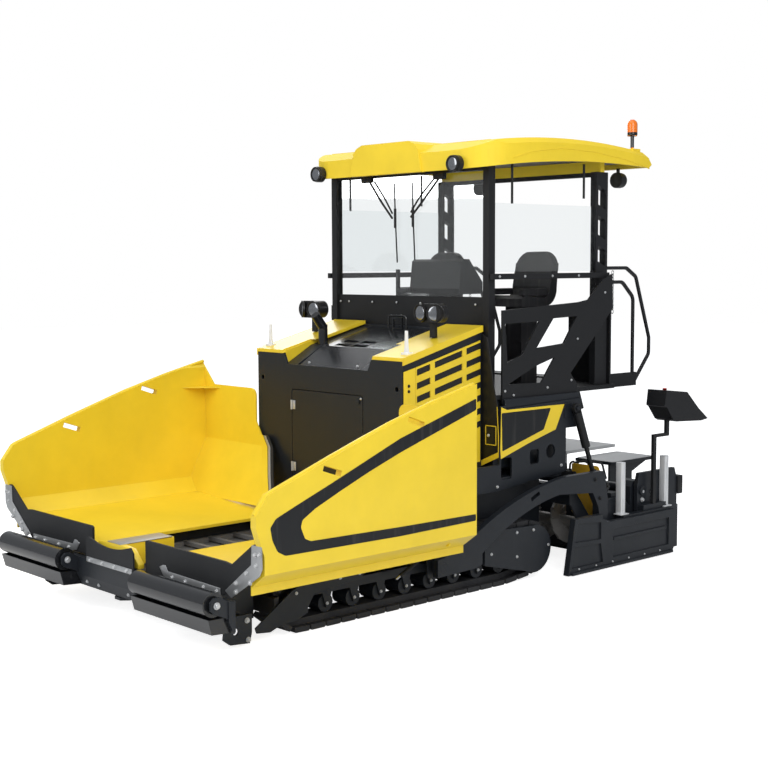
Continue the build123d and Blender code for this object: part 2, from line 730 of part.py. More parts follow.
# Yellow cheeks on both sides of the sunk lid.
cheek_front = hood_face - seat_gap
with BuildPart() as hood_cheeks:
    with BuildSketch(at_x(cheek_inner)):
        with BuildLine():
            Polyline((cheek_front, hood_front_top + 1), (hood_rear, hood_rear_top + 1),
                     (hood_rear, hood_rear_top + cheek_thick + 1),
                     (cheek_front, hood_front_top + cheek_thick + 1),
                     close=True)
        make_face()
    extrude(amount=cheek_outer - cheek_inner)
    with BuildSketch(at_x(hood_half + 1)):
        with BuildLine():
            Polyline((cheek_front, hood_front_top - 32), (hood_rear, hood_rear_top - 22),
                     (hood_rear, hood_rear_top + 20), (cheek_front, hood_front_top + 20), close=True)
        make_face()
    extrude(amount=cheek_outer - hood_half - 1)
    with BuildSketch(at_y(cheek_front)):
        with BuildLine():
            Polyline((500, 1880), (cheek_inner + 15, 1880), (cheek_inner + 75, 2020),
                     (cheek_inner + 75, 2100),
                     (500, 2100), close=True)
        make_face()
    extrude(amount=cheek_front - hood_rear, mode=Mode.SUBTRACT)
    # inner faces that step down to the lid
    with BuildSketch(at_x(recess_half + seat_gap)):
        with BuildLine():
            Polyline((body_front + 5, lid_front_z), (lid_knee_y, lid_knee_z),
                     (hood_rear - hood_wall - 5, lid_rear_z),
                     (hood_rear - hood_wall - 5, hood_rear_top + 20),
                     (body_front + 5, hood_front_top + 24), close=True)
        make_face()
    extrude(amount=20)
    mirror(about=Plane.YZ)
hood_cheeks.part.label = "hood_cheeks"
export_step(hood_cheeks.part, "parts/hood_cheeks.step")

# Sunk lid, hinged along its front edge, with slots and a grab handle at the rear.
lid_front = body_front + 20
lid_rear = hood_rear - hood_wall - free_gap
with BuildPart() as hood_lid:
    with BuildSketch(at_x(0)):
        with BuildLine():
            Polyline((lid_front, lid_front_z - lid_plate), (lid_front, lid_front_z), (lid_knee_y, lid_knee_z),
                     (lid_rear, lid_rear_z), (lid_rear, lid_rear_z - lid_plate),
                     (lid_knee_y + 5, lid_knee_z - lid_plate),
                     close=True)
        make_face()
    extrude(amount=lid_half, both=True)
    for slot_y in (-250, -140):
        with Locations((-200, slot_y, 2080), (40, slot_y, 2080)):
            Box(190, 62, 120, mode=Mode.SUBTRACT)
    with Locations((0, 240, lid_rear_z + 40)):
        Box(130, 16, 110)
    with Locations((0, 240, lid_rear_z + 40)):
        Box(98, 20, 78, mode=Mode.SUBTRACT)
    with Locations((300 - lid_half, lid_front, lid_front_z - lid_plate / 2),
                   (lid_half - 300, lid_front, lid_front_z - lid_plate / 2)):
        Cylinder(lid_plate / 2, 120, rotation=(0, 90, 0))
hood_lid.part.label = "hood_lid"
export_step(hood_lid.part, "parts/hood_lid.step")

hinge_y = hood_face - 7
knuckle_radius = 10
with BuildPart() as service_door:
    with BuildSketch(at_y(body_front - seat_gap)):
        with Locations((0, (door_low + door_high) / 2)):
            RectangleRounded(2 * (door_half - free_gap), door_high - door_low - 2 * free_gap, 25)
    extrude(amount=hood_wall - seat_gap)
    for hinge_z in (961, 1524):
        with BuildSketch(at_z(hinge_z)):
            with Locations((free_gap - door_half, hinge_y)):
                RegularPolygon(knuckle_radius, pin_sides)
        extrude(amount=45, both=True)
    with Locations((door_half - 60, hood_face - 6, door_high - 60)):
        Box(34, 12, 34)
service_door.part.label = "service_door"
export_step(service_door.part, "parts/service_door.step")

# Exhaust tail pipe: an upright pipe bent forward and cut at a slant.
with BuildPart() as exhaust_stub:
    with BuildSketch(at_z(1990)):
        with Locations((pipe_x, pipe_y)):
            RegularPolygon(pipe_radius, roller_sides)
    extrude(amount=250)
    with BuildSketch(Plane((pipe_x, pipe_y, 2215), x_dir=(1, 0, 0), z_dir=(0, -0.62, 0.78))):
        RegularPolygon(pipe_radius, roller_sides)
    extrude(amount=150)
exhaust_stub.part.label = "exhaust_stub"
export_step(exhaust_stub.part, "parts/exhaust_stub.step")

# Twin work lamps: flat oval housings on short posts.
lamp_x = 800
lamp_y = -95
lamp_z = 2370
lamp_base = hood_front_top + slope * (lamp_y + 15 + 19 - hood_face) + cheek_thick + 1.5
with BuildPart() as work_lamps:
    with Locations((lamp_x, lamp_y + 15, lamp_base)):
        Box(60, 34, lamp_z - 50 - lamp_base, align=(Align.CENTER, Align.CENTER, Align.MIN))
    with BuildSketch(at_y(lamp_y + 50)):
        with Locations((lamp_x, lamp_z)):
            SlotOverall(310, 160)
    extrude(amount=110)
    mirror(about=Plane.YZ)
work_lamps.part.label = "work_lamps"
export_step(work_lamps.part, "parts/work_lamps.step")

# ---- platform ------------------------------------------------------------------
fascia_thick = 25
with BuildPart() as platform_deck:
    with Locations((0, (hood_rear + 25 + deck_rear) / 2, deck_top - deck_plate / 2)):
        Box(2 * deck_half - 40, deck_rear - hood_rear - 25, deck_plate)
    with Locations((0, post_front_y, (deck_top + sill_z) / 2)):
        Box(2 * post_half - 2 * post_width, fascia_thick, sill_z - deck_top)
platform_deck.part.label = "platform_deck"
export_step(platform_deck.part, "parts/platform_deck.step")

# Side plates of the platform with three slanting cut-outs each, two of them
# parallel to the stay that falls forward from the rear post.
with BuildPart() as platform_side_left:
    with BuildSketch(at_x(deck_half - 20)):
        with BuildLine():
            Polyline((417, 1570), (417, 2387), (1444, 2437), (1583, 2457), (1790, 2640), (1930, 2690),
                     (1942, 2369),
                     (1332, 1790), (1430, 1680), (1430, 1570), close=True)
        make_face()
        with BuildLine():
            Polyline((450, 2270), (900, 2277), (670, 1985), (481, 1930), close=True)
        make_face(mode=Mode.SUBTRACT)
        with BuildLine():
            Polyline((1090, 2298), (1420, 2310), (1235, 2068), (862, 2041), close=True)
        make_face(mode=Mode.SUBTRACT)
        with BuildLine():
            Polyline((1111, 1947), (931, 1727), (490, 1739), (848, 1879), close=True)
        make_face(mode=Mode.SUBTRACT)
    extrude(amount=20)
    with BuildSketch(at_x(deck_half - 52)):
        with BuildLine():
            Polyline((1500, 1980), (1900, 2360), (1930, 2640), (1900, 2640), (1870, 2385),
                     (1490, 2020), close=True)
        make_face()
    extrude(amount=34)
write_pair(platform_side_left, "platform_side")

# Four posts: plain boxes at the front, plates with lightening holes at the
# rear, a head rail at each pair and a side rail between them.
rail_z = 2680
with BuildPart() as cab_frame:
    with BuildSketch(at_x(post_half - post_width)):
        with Locations((post_front_y, (deck_top + canopy_low) / 2)):
            Rectangle(80, canopy_low - deck_top)
        with Locations((post_rear_y, (deck_top + canopy_low) / 2)):
            Rectangle(post_rear_deep, canopy_low - deck_top)
        for low, high in ((2760, 2960), (3010, 3240), (3290, 3520)):
            with BuildLine():
                Polyline((post_rear_y - 55, low + 50), (post_rear_y + 55, low), (post_rear_y + 55, high - 50),
                         (post_rear_y - 55, high), close=True)
            make_face(mode=Mode.SUBTRACT)
    extrude(amount=post_width)
    with Locations((post_half + 40, (post_front_y + post_rear_y) / 2, rail_z)):
        Box(40, post_rear_y - post_front_y + 90, 50)
    with Locations((post_half + 18, post_front_y, rail_z), (post_half + 18, post_rear_y, rail_z)):
        Box(40, 60, 50)
    mirror(about=Plane.YZ)
    with Locations((0, post_front_y, canopy_low - 20), (0, post_rear_y, canopy_low - 20)):
        Box(2 * post_half - 20, 60, 40)
cab_frame.part.label = "cab_frame"
export_step(cab_frame.part, "parts/cab_frame.step")

with BuildPart() as windscreen:
    with Locations((0, post_front_y, (sill_z + canopy_low - 40) / 2)):
        Box(2 * (post_half - post_width), pane_thick, canopy_low - 40 - sill_z)
windscreen.part.label = "windscreen"
export_step(windscreen.part, "parts/windscreen.step")

with BuildPart() as side_screens:
    pane_from = post_front_y + 40
    pane_to = post_rear_y - post_rear_deep / 2
    with Locations((post_half - 30, (pane_from + pane_to) / 2, 3020)):
        Box(pane_thick, pane_to - pane_from, 600)
    mirror(about=Plane.YZ)
side_screens.part.label = "side_screens"
export_step(side_screens.part, "parts/side_screens.step")

# ---- canopy --------------------------------------------------------------------
# A shallow moulded roof: its side edge bows up to the rear, the crown is one
# long arc, and a raised nose stands out in the middle of the front.
eave_front = canopy_low - 40
eave_mid = canopy_low + 70
eave_rear = canopy_low + 55
nose_wide = 430
nose_depth = 20               # the raised nose stands this far proud
canopy_edge = 45
corner_sides = 40             # flats of the rounded corners, a full turn
corner_x = canopy_half - canopy_corner
corner_y = canopy_front + canopy_corner
canopy_brow = canopy_front + 240
with BuildPart() as canopy:
    with BuildSketch(at_x(0)):
        with BuildLine():
            ThreePointArc((canopy_front, eave_front), (1400, eave_mid), (canopy_rear - 40, eave_rear))
            Polyline((canopy_rear - 40, eave_rear), (canopy_rear, eave_rear + 30),
                     (canopy_rear - 90, canopy_top - 60))
            ThreePointArc((canopy_rear - 90, canopy_top - 60), (1300, canopy_top + 8),
                          (canopy_brow, canopy_top - 45))
            Polyline((canopy_brow, canopy_top - 45), (canopy_front, eave_front + 165),
                     (canopy_front, eave_front))
        make_face()
    extrude(amount=canopy_half, both=True)
    crown = canopy.faces().filter_by(GeomType.CYLINDER).sort_by(Axis.Z)[-1]
    chamfer(crown.edges().filter_by(GeomType.CIRCLE), length=canopy_edge)
    for sign in (-1, 1):
        with BuildSketch(at_z(canopy_low - 100)):
            with Locations((sign * canopy_half, canopy_front)):
                Rectangle(2 * canopy_corner, 2 * canopy_corner)
            with Locations((sign * corner_x, corner_y)):
                RegularPolygon(canopy_corner, corner_sides, mode=Mode.SUBTRACT)
        extrude(amount=400, mode=Mode.SUBTRACT)
    with BuildSketch(at_y(canopy_front - nose_depth)):
        with BuildLine():
            Polyline((-nose_wide - 50, eave_front), (-nose_wide, canopy_top - 100),
                     (40 - nose_wide, canopy_top - 50),
                     (120 - nose_wide, canopy_top - 20), (nose_wide - 120, canopy_top - 20),
                     (nose_wide - 40, canopy_top - 50), (nose_wide, canopy_top - 100),
                     (nose_wide + 50, eave_front),
                     close=True)
        make_face()
    extrude(amount=-450)
    with BuildSketch(at_x(0)):
        with BuildLine():
            Polyline((canopy_rear - 60, canopy_low - 100), (corner_y, canopy_low - 100),
                     (corner_y, canopy_top - 85))
            ThreePointArc((corner_y, canopy_top - 85), (1300, canopy_top - canopy_skin),
                          (canopy_rear - 110, canopy_top - 100))
            Line((canopy_rear - 110, canopy_top - 100), (canopy_rear - 60, canopy_low - 100))
        make_face()
    extrude(amount=canopy_half - canopy_skin, both=True, mode=Mode.SUBTRACT)
    with BuildSketch(at_z(canopy_low - 100)):
        with Locations((0, corner_y)):
            Rectangle(2 * corner_x, 2 * (canopy_corner - canopy_skin))
        with Locations((-corner_x, corner_y), (corner_x, corner_y)):
            RegularPolygon(canopy_corner - canopy_skin, corner_sides)
    extrude(amount=185, mode=Mode.SUBTRACT)
    with Locations((0, post_front_y, canopy_low + 110), (0, post_rear_y, canopy_low + 110)):
        Box(2 * post_half, 60, 220)
    with Locations((beacon_x, beacon_y, canopy_top - 60)):
        Box(110, 110, 60)
canopy.part.label = "canopy"
export_step(canopy.part, "parts/canopy.step")

beacon_foot = canopy_top - 30
beacon_radius = 46
with BuildPart() as beacon:
    with BuildSketch(at_z(beacon_foot)):
        with Locations((beacon_x, beacon_y)):
            RegularPolygon(14, 8)
    extrude(amount=125)
    with BuildSketch(at_z(beacon_foot + 120)):
        with Locations((beacon_x, beacon_y)):
            RegularPolygon(beacon_radius, roller_sides)
    extrude(amount=75)
    with BuildSketch(at_z(beacon_foot + 195)):
        with Locations((beacon_x, beacon_y)):
            RegularPolygon(beacon_radius, roller_sides)
    extrude(amount=80, taper=17)
beacon.part.label = "beacon"
export_step(beacon.part, "parts/beacon.step")

# Round roof lamps: two on the front corners and two hung under the rear eave.
lamp_radius = 74
roof_lamp_x = 913
rear_lamp_y = 2300
with BuildPart() as roof_lamps:
    for lamp_side in (-roof_lamp_x, roof_lamp_x):
        with BuildSketch(at_y(canopy_front - seat_gap)):
            with Locations((lamp_side, eave_front + 45)):
                RegularPolygon(lamp_radius, 2 * pin_sides)
        extrude(amount=55)
        with Locations((lamp_side, rear_lamp_y, eave_rear - 30)):
            Box(24, 24, 70)
        with BuildSketch(at_y(rear_lamp_y + 28)):
            with Locations((lamp_side, eave_rear - 110)):
                RegularPolygon(lamp_radius, 2 * pin_sides)
        extrude(amount=60)
roof_lamps.part.label = "roof_lamps"
export_step(roof_lamps.part, "parts/roof_lamps.step")

# ---- operators' places -----------------------------------------------------------
# Two bucket seats on columns and, between them, a slanted console with a wheel.
seat_x = 600
seat_half = 235
with BuildPart() as seats:
    with Locations((seat_x, 1270, (deck_top + 2400) / 2)):
        Box(200, 220, 2400 - deck_top)
    with BuildSketch(at_x(seat_x)):
        with BuildLine():
            Polyline((1010, 2395), (1010, 2470), (1060, 2500), (1300, 2470))
            ThreePointArc((1300, 2470), (1375, 2500), (1405, 2580))
            Polyline((1405, 2580), (1470, 2900), (1530, 2905), (1500, 2560))
            ThreePointArc((1500, 2560), (1450, 2440), (1340, 2395))
            Line((1340, 2395), (1010, 2395))
        make_face()
    extrude(amount=seat_half, both=True)
    with BuildSketch(at_y(1600)):
        with Locations((seat_x, 2860)):
            Rectangle(2 * seat_half + 20, 130)
        with Locations((seat_x, 2740)):
            SlotOverall(2 * seat_half, 330, rotation=0, mode=Mode.SUBTRACT)
    extrude(amount=220, mode=Mode.SUBTRACT)
    for side in (-1, 1):
        with Locations((seat_x + side * (seat_half - 25), 1190, 2530)):
            Box(50, 330, 60)
    mirror(about=Plane.YZ)
seats.part.label = "seats"
export_step(seats.part, "parts/seats.step")

console_half = 330
with BuildPart() as console:
    with BuildSketch(at_x(0)):
        with BuildLine():
            Polyline((735, 2510), (715, 2560), (745, 2815), (775, 2835), (850, 2835), (1030, 2620),
                     (1030, 2510),
                     close=True)
        make_face()
    extrude(amount=console_half, both=True)
    with Locations((0, 870, (deck_top + 2520) / 2)):
        Box(300, 160, 2520 - deck_top)
    with Locations((-console_half - 150, 700, (deck_top + 2740) / 2)):
        Box(30, 30, 2740 - deck_top)
    with Locations((-console_half - 70, 700, 2540)):
        Box(160, 60, 40)
    with Locations((-console_half + 5, 740, 2540)):
        Box(60, 120, 40)
    wheel_plane = Plane((-seat_x + 330, 1080, 2720), x_dir=(1, 0, 0), z_dir=(0, 0.5, 0.87))
    with BuildSketch(wheel_plane):
        RegularPolygon(185, roller_sides + 4)
        RegularPolygon(158, roller_sides + 4, mode=Mode.SUBTRACT)
        Rectangle(330, 34)
    extrude(amount=24)
    with BuildSketch(wheel_plane):
        Rectangle(60, 60)
    extrude(amount=-190)
console.part.label = "console"
export_step(console.part, "parts/console.step")

# Rear hand rails, the black guard panels and the plates that carry the steps.
rail_x = deck_half - 150
rail_radius = 19
guard_inner = rail_x - 440
panel_thick = 20
with BuildPart() as handrails:
    for points, bend in (
        ([(post_rear_y + post_rear_deep / 2 + seat_gap, 2745), (2330, 2745), (2480, 2660), (2700, 2060),
          (2700, 1900), (2470, 1640)], 70),
        ([(deck_rear + 8, 2610), (2270, 2610), (2440, 2460), (2440, 1700)], 90),
    ):
        with BuildLine(at_x(rail_x)) as rail_line:
            FilletPolyline(*points, radius=bend)
        with BuildSketch(Plane(rail_line.line @ 0, x_dir=(1, 0, 0), z_dir=rail_line.line % 0)):
            RegularPolygon(rail_radius, 6)
        sweep()
    with BuildSketch(at_x(rail_x - 12)):
        with BuildLine():
            Polyline((deck_rear + panel_thick, 1600), (2490, 1600), (2490, 1730),
                     (deck_rear + panel_thick, 1730),
                     close=True)
        make_face()
    extrude(amount=24)
    with Locations(((guard_inner + rail_x + 70) / 2, deck_rear + panel_thick / 2,
                   (deck_top - deck_plate + 2380) / 2)):
        Box(rail_x + 70 - guard_inner, panel_thick, 2380 - deck_top + deck_plate)
    mirror(about=Plane.YZ)
handrails.part.label = "handrails"
export_step(handrails.part, "parts/handrails.step")

# Step board between the rail plates, with the folding tread hung below it.
tread_half = 450
with BuildPart() as access_step:
    with Locations((0, 2230, 1640)):
        Box(2 * rail_x - 24, 220, 30)
    with Locations((0, 2310, 1345)):
        Box(2 * tread_half, 120, 24)
    for side in (-1, 1):
        with BuildSketch(at_x(side * (tread_half - 10))):
            with BuildLine():
                Polyline((2210, 1630), (2260, 1630), (2370, 1340), (2320, 1333), close=True)
            make_face()
        extrude(amount=side * 20)
access_step.part.label = "access_step"
export_step(access_step.part, "parts/access_step.step")

# ---- augers --------------------------------------------------------------------
# Helical flights on a shaft, one hand per side so that both throw outwards.
bearing_x = arm_inner - 95
bearing_half = 10
auger_outer = bearing_x - bearing_half - 10
flight_start = auger_inner + 40
flight_count = int((auger_outer - 40 - flight_start) / auger_pitch * blades_per_turn)
blade_turn = 360 / blades_per_turn
blade_rise = auger_pitch / blades_per_turn
blade_mid = (auger_shaft + auger_radius) / 2
blade_tilt = math.atan2(auger_pitch, 2 * math.pi * blade_mid)
blade_spread = math.tan(math.radians(blade_turn / 2 + 1))
with BuildPart() as auger_left:
    for index in range(flight_count):
        turn = math.radians(index * blade_turn)
        radial = Vector(0, math.cos(turn), math.sin(turn))
        around = Vector(0, -math.sin(turn), math.cos(turn))
        lean = Vector(math.cos(blade_tilt), 0, 0) - around * math.sin(blade_tilt)
        blade_foot = (flight_start + index * blade_rise, auger_y, auger_z)
        with BuildSketch(Plane(blade_foot, x_dir=radial, z_dir=lean)):
            with BuildLine():
                Polyline((auger_shaft - 12, -auger_shaft * blade_spread - 4),
                         (auger_radius, -auger_radius * blade_spread),
                         (auger_radius, auger_radius * blade_spread),
                         (auger_shaft - 12, auger_shaft * blade_spread + 4),
                         close=True)
            make_face()
    extrude(amount=flight_thick / 2, both=True)
    with BuildSketch(at_x(auger_inner)):
        with Locations((auger_y, auger_z)):
            RegularPolygon(auger_shaft, blades_per_turn)
    extrude(amount=auger_outer - auger_inner)
write_pair(auger_left, "auger")

# Carrier of the augers: beam behind the hull, gear case in the middle and
# bearing arms at the ends.
with BuildPart() as auger_carrier:
    with Locations((0, body_rear + 60, 640)):
        Box(2 * bearing_x + 20, 60, 110)
    with Locations((0, body_rear + 15, 640)):
        Box(1500, 30, 110)
    with BuildSketch(at_x(0)):
        with BuildLine():
            Polyline((auger_y - 70, auger_z - 60), (auger_y - 40, auger_z - 90), (auger_y + 40, auger_z - 90),
                     (auger_y + 80, auger_z - 40), (auger_y + 80, auger_z + 40), (1340, 690), (1250, 690),
                     (1250, 600),
                     close=True)
        make_face()
    extrude(amount=auger_inner - 20, both=True)
    for side in (-1, 1):
        with BuildSketch(at_x(side * bearing_x)):
            with BuildLine():
                Polyline((auger_y - 60, auger_z - 50), (auger_y - 30, auger_z - 75),
                         (auger_y + 30, auger_z - 75),
                         (auger_y + 70, auger_z - 30), (auger_y + 70, auger_z + 30), (1340, 690), (1250, 690),
                         (1250, 600), close=True)
            make_face()
        extrude(amount=bearing_half, both=True)
auger_carrier.part.label = "auger_carrier"
export_step(auger_carrier.part, "parts/auger_carrier.step")

# ---- screed --------------------------------------------------------------------
# Bowed tow arm: it rises from the tow point, runs level over the auger and
# drops to the screed's end; a slot in the plate shows the depth crank.
with BuildPart() as tow_arm_left:
    with BuildSketch(at_x(arm_inner)):
        with BuildLine():
            Polyline((-590, 225), (-590, 372), (-398, 403), (-96, 551))
            ThreePointArc((-96, 551), (480, 786), (1027, 890))
            Polyline((1027, 890), (1540, 889), (1572, 860), (arm_rear, 640), (arm_rear, 400), (1510, 400),
                     (1480, 560),
                     (1400, 700), (933, 738))
            ThreePointArc((933, 738), (449, 620), (-62, 354))
            Polyline((-62, 354), (-62, 262), (-130, 240), (-590, 225))
        make_face()
        with Locations((tow_y, tow_z)):
            RegularPolygon(tow_pin_radius + pin_gap, 2 * pin_sides, major_radius=False, mode=Mode.SUBTRACT)
        with Locations((608, 762)):
            Rectangle(120, 36, rotation=24, mode=Mode.SUBTRACT)
    extrude(amount=arm_plate)
    with BuildSketch(at_x(arm_inner)):
        with Locations((lift_foot_y, lift_foot_z)):
            RegularPolygon(lift_pin_radius, pin_sides)
    extrude(amount=lift_x - 22 - arm_inner)
write_pair(tow_arm_left, "tow_arm")

guide_inner = screed_half - 170
with BuildPart() as screed_body:
    with BuildSketch(at_x(0)):
        with BuildLine():
            Polyline((screed_front, screed_ground_gap + 60), (screed_front + 60, screed_ground_gap),
                     (screed_rear, screed_ground_gap), (screed_rear, 480), (2080, 480), (1900, 640),
                     (screed_front, 640),
                     close=True)
        make_face()
    extrude(amount=screed_half, both=True)
    for side in (-1, 1):
        with Locations((side * (arm_inner - seat_gap - 25), (arm_rear + screed_front) / 2, 500)):
            Box(50, screed_front - arm_rear + 160, 200)
        with BuildSketch(at_x(side * guide_inner)):
            with BuildLine():
                Polyline((guide_y - 100, 470), (guide_y + 100, 470), (guide_y + 100, guide_z + 40),
                         (guide_y + 50, guide_z + 90), (guide_y - 50, guide_z + 90),
                         (guide_y - 100, guide_z + 40),
                         close=True)
            make_face()
            with Locations((guide_y, guide_z)):
                RegularPolygon(guide_radius + pin_gap, 2 * pin_sides, major_radius=False, mode=Mode.SUBTRACT)
        extrude(amount=side * (screed_half - guide_inner))
screed_body.part.label = "screed_body"
export_step(screed_body.part, "parts/screed_body.step")

walkway_front = screed_rear + 10
centre_walk_z = walkway_top + 60
centre_walk_half = 350
with BuildPart() as screed_walkway:
    with Locations((0, (walkway_front + overall_rear) / 2, centre_walk_z)):
        Box(2 * centre_walk_half, overall_rear - walkway_front, walkway_plate)
    with Locations((50 - centre_walk_half, screed_rear - 35, (480 + centre_walk_z) / 2),
                   (centre_walk_half - 50, screed_rear - 35, (480 + centre_walk_z) / 2)):
        Box(60, 40, centre_walk_z - 480)
    with Locations((0, screed_rear - 15, centre_walk_z)):
        Box(2 * centre_walk_half, 80, walkway_plate)
screed_walkway.part.label = "screed_walkway"
export_step(screed_walkway.part, "parts/screed_walkway.step")

# Sliding extension: its own plate behind the main screed, the guide tube, the
# end bracket that carries the end plate, and its part of the walkway.
bracket_x = arm_inner
side_walk_inner = centre_walk_half + 30
side_walk_front = screed_rear + 50
side_walk_outer = 850
bracket_top = walkway_top - walkway_plate
with BuildPart() as extension_left:
    with BuildSketch(at_x(extension_inner)):
        with BuildLine():
            Polyline((screed_rear + free_gap, screed_ground_gap), (extension_rear, screed_ground_gap),
                     (extension_rear, 430), (screed_rear + 60, 430),
                     (screed_rear + free_gap, 300), close=True)
        make_face()
    extrude(amount=arm_inner + 20 - extension_inner)
    with BuildSketch(at_x(extension_inner)):
        with Locations((guide_y, guide_z)):
            RegularPolygon(guide_radius, 2 * pin_sides)
    extrude(amount=arm_inner + 40 - extension_inner)
    with BuildSketch(at_x(arm_inner - 20)):
        with BuildLine():
            Polyline((guide_y - 70, 430), (extension_rear - 20, 430), (extension_rear - 20, 690),
                     (extension_rear - 60, bracket_top), (guide_y - 40, bracket_top),
                     (guide_y - 70, 690), close=True)
        make_face()
    extrude(amount=40)
    with BuildSketch(at_z(walkway_top - walkway_plate)) as side_walk:
        with Locations(((side_walk_inner + side_walk_outer) / 2, (side_walk_front + overall_rear) / 2)):
            Rectangle(side_walk_outer - side_walk_inner, overall_rear - side_walk_front)
        fillet(side_walk.vertices().sort_by(Axis.X)[-1], radius=40)
    extrude(amount=walkway_plate)
    # the plate that carries the walkway's outer end
    with BuildSketch(at_x(side_walk_outer - 70)):
        with BuildLine():
            Polyline((side_walk_front + 20, 428), (extension_rear - 40, 428), (extension_rear - 40, 700),
                     (overall_rear - 40, bracket_top + 2),
                     (side_walk_front + 20, bracket_top + 2), close=True)
        make_face()
    extrude(amount=20)
write_pair(extension_left, "extension")

# End plate: a framed main plate on a skid, a shorter wing plate at the front
# with two ribs, and two upright guide posts.
end_plate_outer = end_plate_inner + end_plate_thick
skid_wide = 90
post_front = 1810             # the two upright guides of the end plate
post_rear = 2480
frame_depth = 16
with BuildPart() as end_plate_left:
    with BuildSketch(at_x(end_plate_inner)):
        with BuildLine():
            Polyline((953, screed_ground_gap), (2500, screed_ground_gap), (2526, 60), (2526, 428),
                     (1553, 428),
                     (1500, 448), (1432, 470), (1432, 510), (1046, 510), close=True)
        make_face()
    extrude(amount=end_plate_thick)
    with BuildSketch(at_x(end_plate_outer - frame_depth)):
        with BuildLine():
            Polyline((1586, 92), (2440, 92), (2440, 356), (1586, 356), close=True)
        make_face()
        with BuildLine():
            Polyline((1040, 300), (1080, 470), (1410, 440), (1410, 284), close=True)
        make_face()
        with BuildLine():
            Polyline((1000, 70), (1030, 262), (1410, 246), (1440, 70), close=True)
        make_face()
    extrude(amount=frame_depth + 5, mode=Mode.SUBTRACT)
    with Locations((end_plate_outer - frame_depth / 2, 2000, 262)):
        Box(frame_depth, 800, 26)
    with Locations((end_plate_inner + skid_wide / 2 - 10, 1740, screed_ground_gap + 12)):
        Box(skid_wide, 1500, 24)
    for post_y in (post_front, post_rear):
        with Locations((end_plate_inner - 35, post_y, 670)):
            Box(60, 60, 540)
    with Locations((end_plate_inner - 5, (post_front + post_rear) / 2, 420)):
        Box(70, post_rear - post_front + 70, 60)
    with Locations(((bracket_x + 20 + end_plate_inner) / 2, post_rear - 180, 470)):
        Box(end_plate_inner - bracket_x - 22, 360, 60)
write_pair(end_plate_left, "end_plate")

post_x = end_plate_inner - 10
post_y = 2280
post_crank = 200              # the upper tube stands this far behind the lower one
post_foot = 500 + seat_gap
with BuildPart() as control_post_left:
    with Locations((post_x, post_y, (post_foot + 1165) / 2)):
        Box(30, 44, 1165 - post_foot)
    with Locations((post_x, post_y + post_crank / 2, 1150)):
        Box(30, post_crank + 44, 30)
    with Locations((post_x, post_y + post_crank, 1260)):
        Box(30, 44, 240)
    with BuildSketch(at_x(post_x - 110)):
        with BuildLine():
            Polyline((2300, 1440), (2322, 1589), (2652, 1554), (2841, 1385), (2960, 1300), (3000, 1272),
                     (2889, 1258),
                     (2480, 1280), (2435, 1300), (2330, 1425), close=True)
        make_face()
    extrude(amount=220)
write_pair(control_post_left, "control_post")

# ---- lift cylinders --------------------------------------------------------------
eye_outer = 46
lift_stroke = 222.5
barrel_start = 40
bore_start = barrel_start + 30
rod_inside = bore_start + lift_stroke + free_gap
lift_length = math.hypot(lift_foot_y - lift_top_y, lift_foot_z - lift_top_z)
barrel_long = lift_length - eye_outer - lift_stroke - 2 * free_gap - barrel_start
lift_line = Plane((lift_x, lift_top_y, lift_top_z), x_dir=(1, 0, 0),
                  z_dir=(0, lift_foot_y - lift_top_y, lift_foot_z - lift_top_z))
with BuildPart() as lift_barrel_left:
    with BuildSketch(lift_line.offset(barrel_start)):
        RegularPolygon(lift_barrel, roller_sides)
    extrude(amount=barrel_long)
    with BuildSketch(lift_line.offset(bore_start)):
        RegularPolygon(lift_rod + 4, roller_sides, major_radius=False)
    extrude(amount=barrel_long, mode=Mode.SUBTRACT)
    with BuildSketch(at_x(lift_x)):
        with Locations((lift_top_y, lift_top_z)):
            RegularPolygon(eye_outer, pin_sides)
    extrude(amount=18, both=True)
    with BuildSketch(at_x(lift_x)):
        with Locations((lift_top_y, lift_top_z)):
            RegularPolygon(lift_pin_radius + pin_gap, pin_sides, major_radius=False)
    extrude(amount=60, both=True, mode=Mode.SUBTRACT)
write_pair(lift_barrel_left, "lift_barrel")

with BuildPart() as lift_rod_left:
    with BuildSketch(lift_line.offset(rod_inside)):
        RegularPolygon(lift_rod, roller_sides)
    extrude(amount=lift_length - rod_inside - 30)
    with BuildSketch(at_x(lift_x)):
        with Locations((lift_foot_y, lift_foot_z)):
            RegularPolygon(eye_outer, pin_sides)
    extrude(amount=16, both=True)
    with BuildSketch(at_x(lift_x)):
        with Locations((lift_foot_y, lift_foot_z)):
            RegularPolygon(lift_pin_radius + 8, pin_sides)
    extrude(amount=60, both=True, mode=Mode.SUBTRACT)
write_pair(lift_rod_left, "lift_rod")

# Levelling cylinder at the tow point: it stands aslant in front of the arm and
# moves the tow point up and down its slide.
level_radius = 17
level_x = arm_inner - level_radius - 5
with BuildPart() as levelling_left:
    level_line = Plane((level_x, -340, 560), x_dir=(1, 0, 0), z_dir=(0, -0.61, -0.28))
    with BuildSketch(level_line):
        RegularPolygon(level_radius, pin_sides)
    extrude(amount=660)
write_pair(levelling_left, "levelling")
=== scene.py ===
from math import cos, pi, radians, sin

import bpy
from mathutils import Matrix, Vector


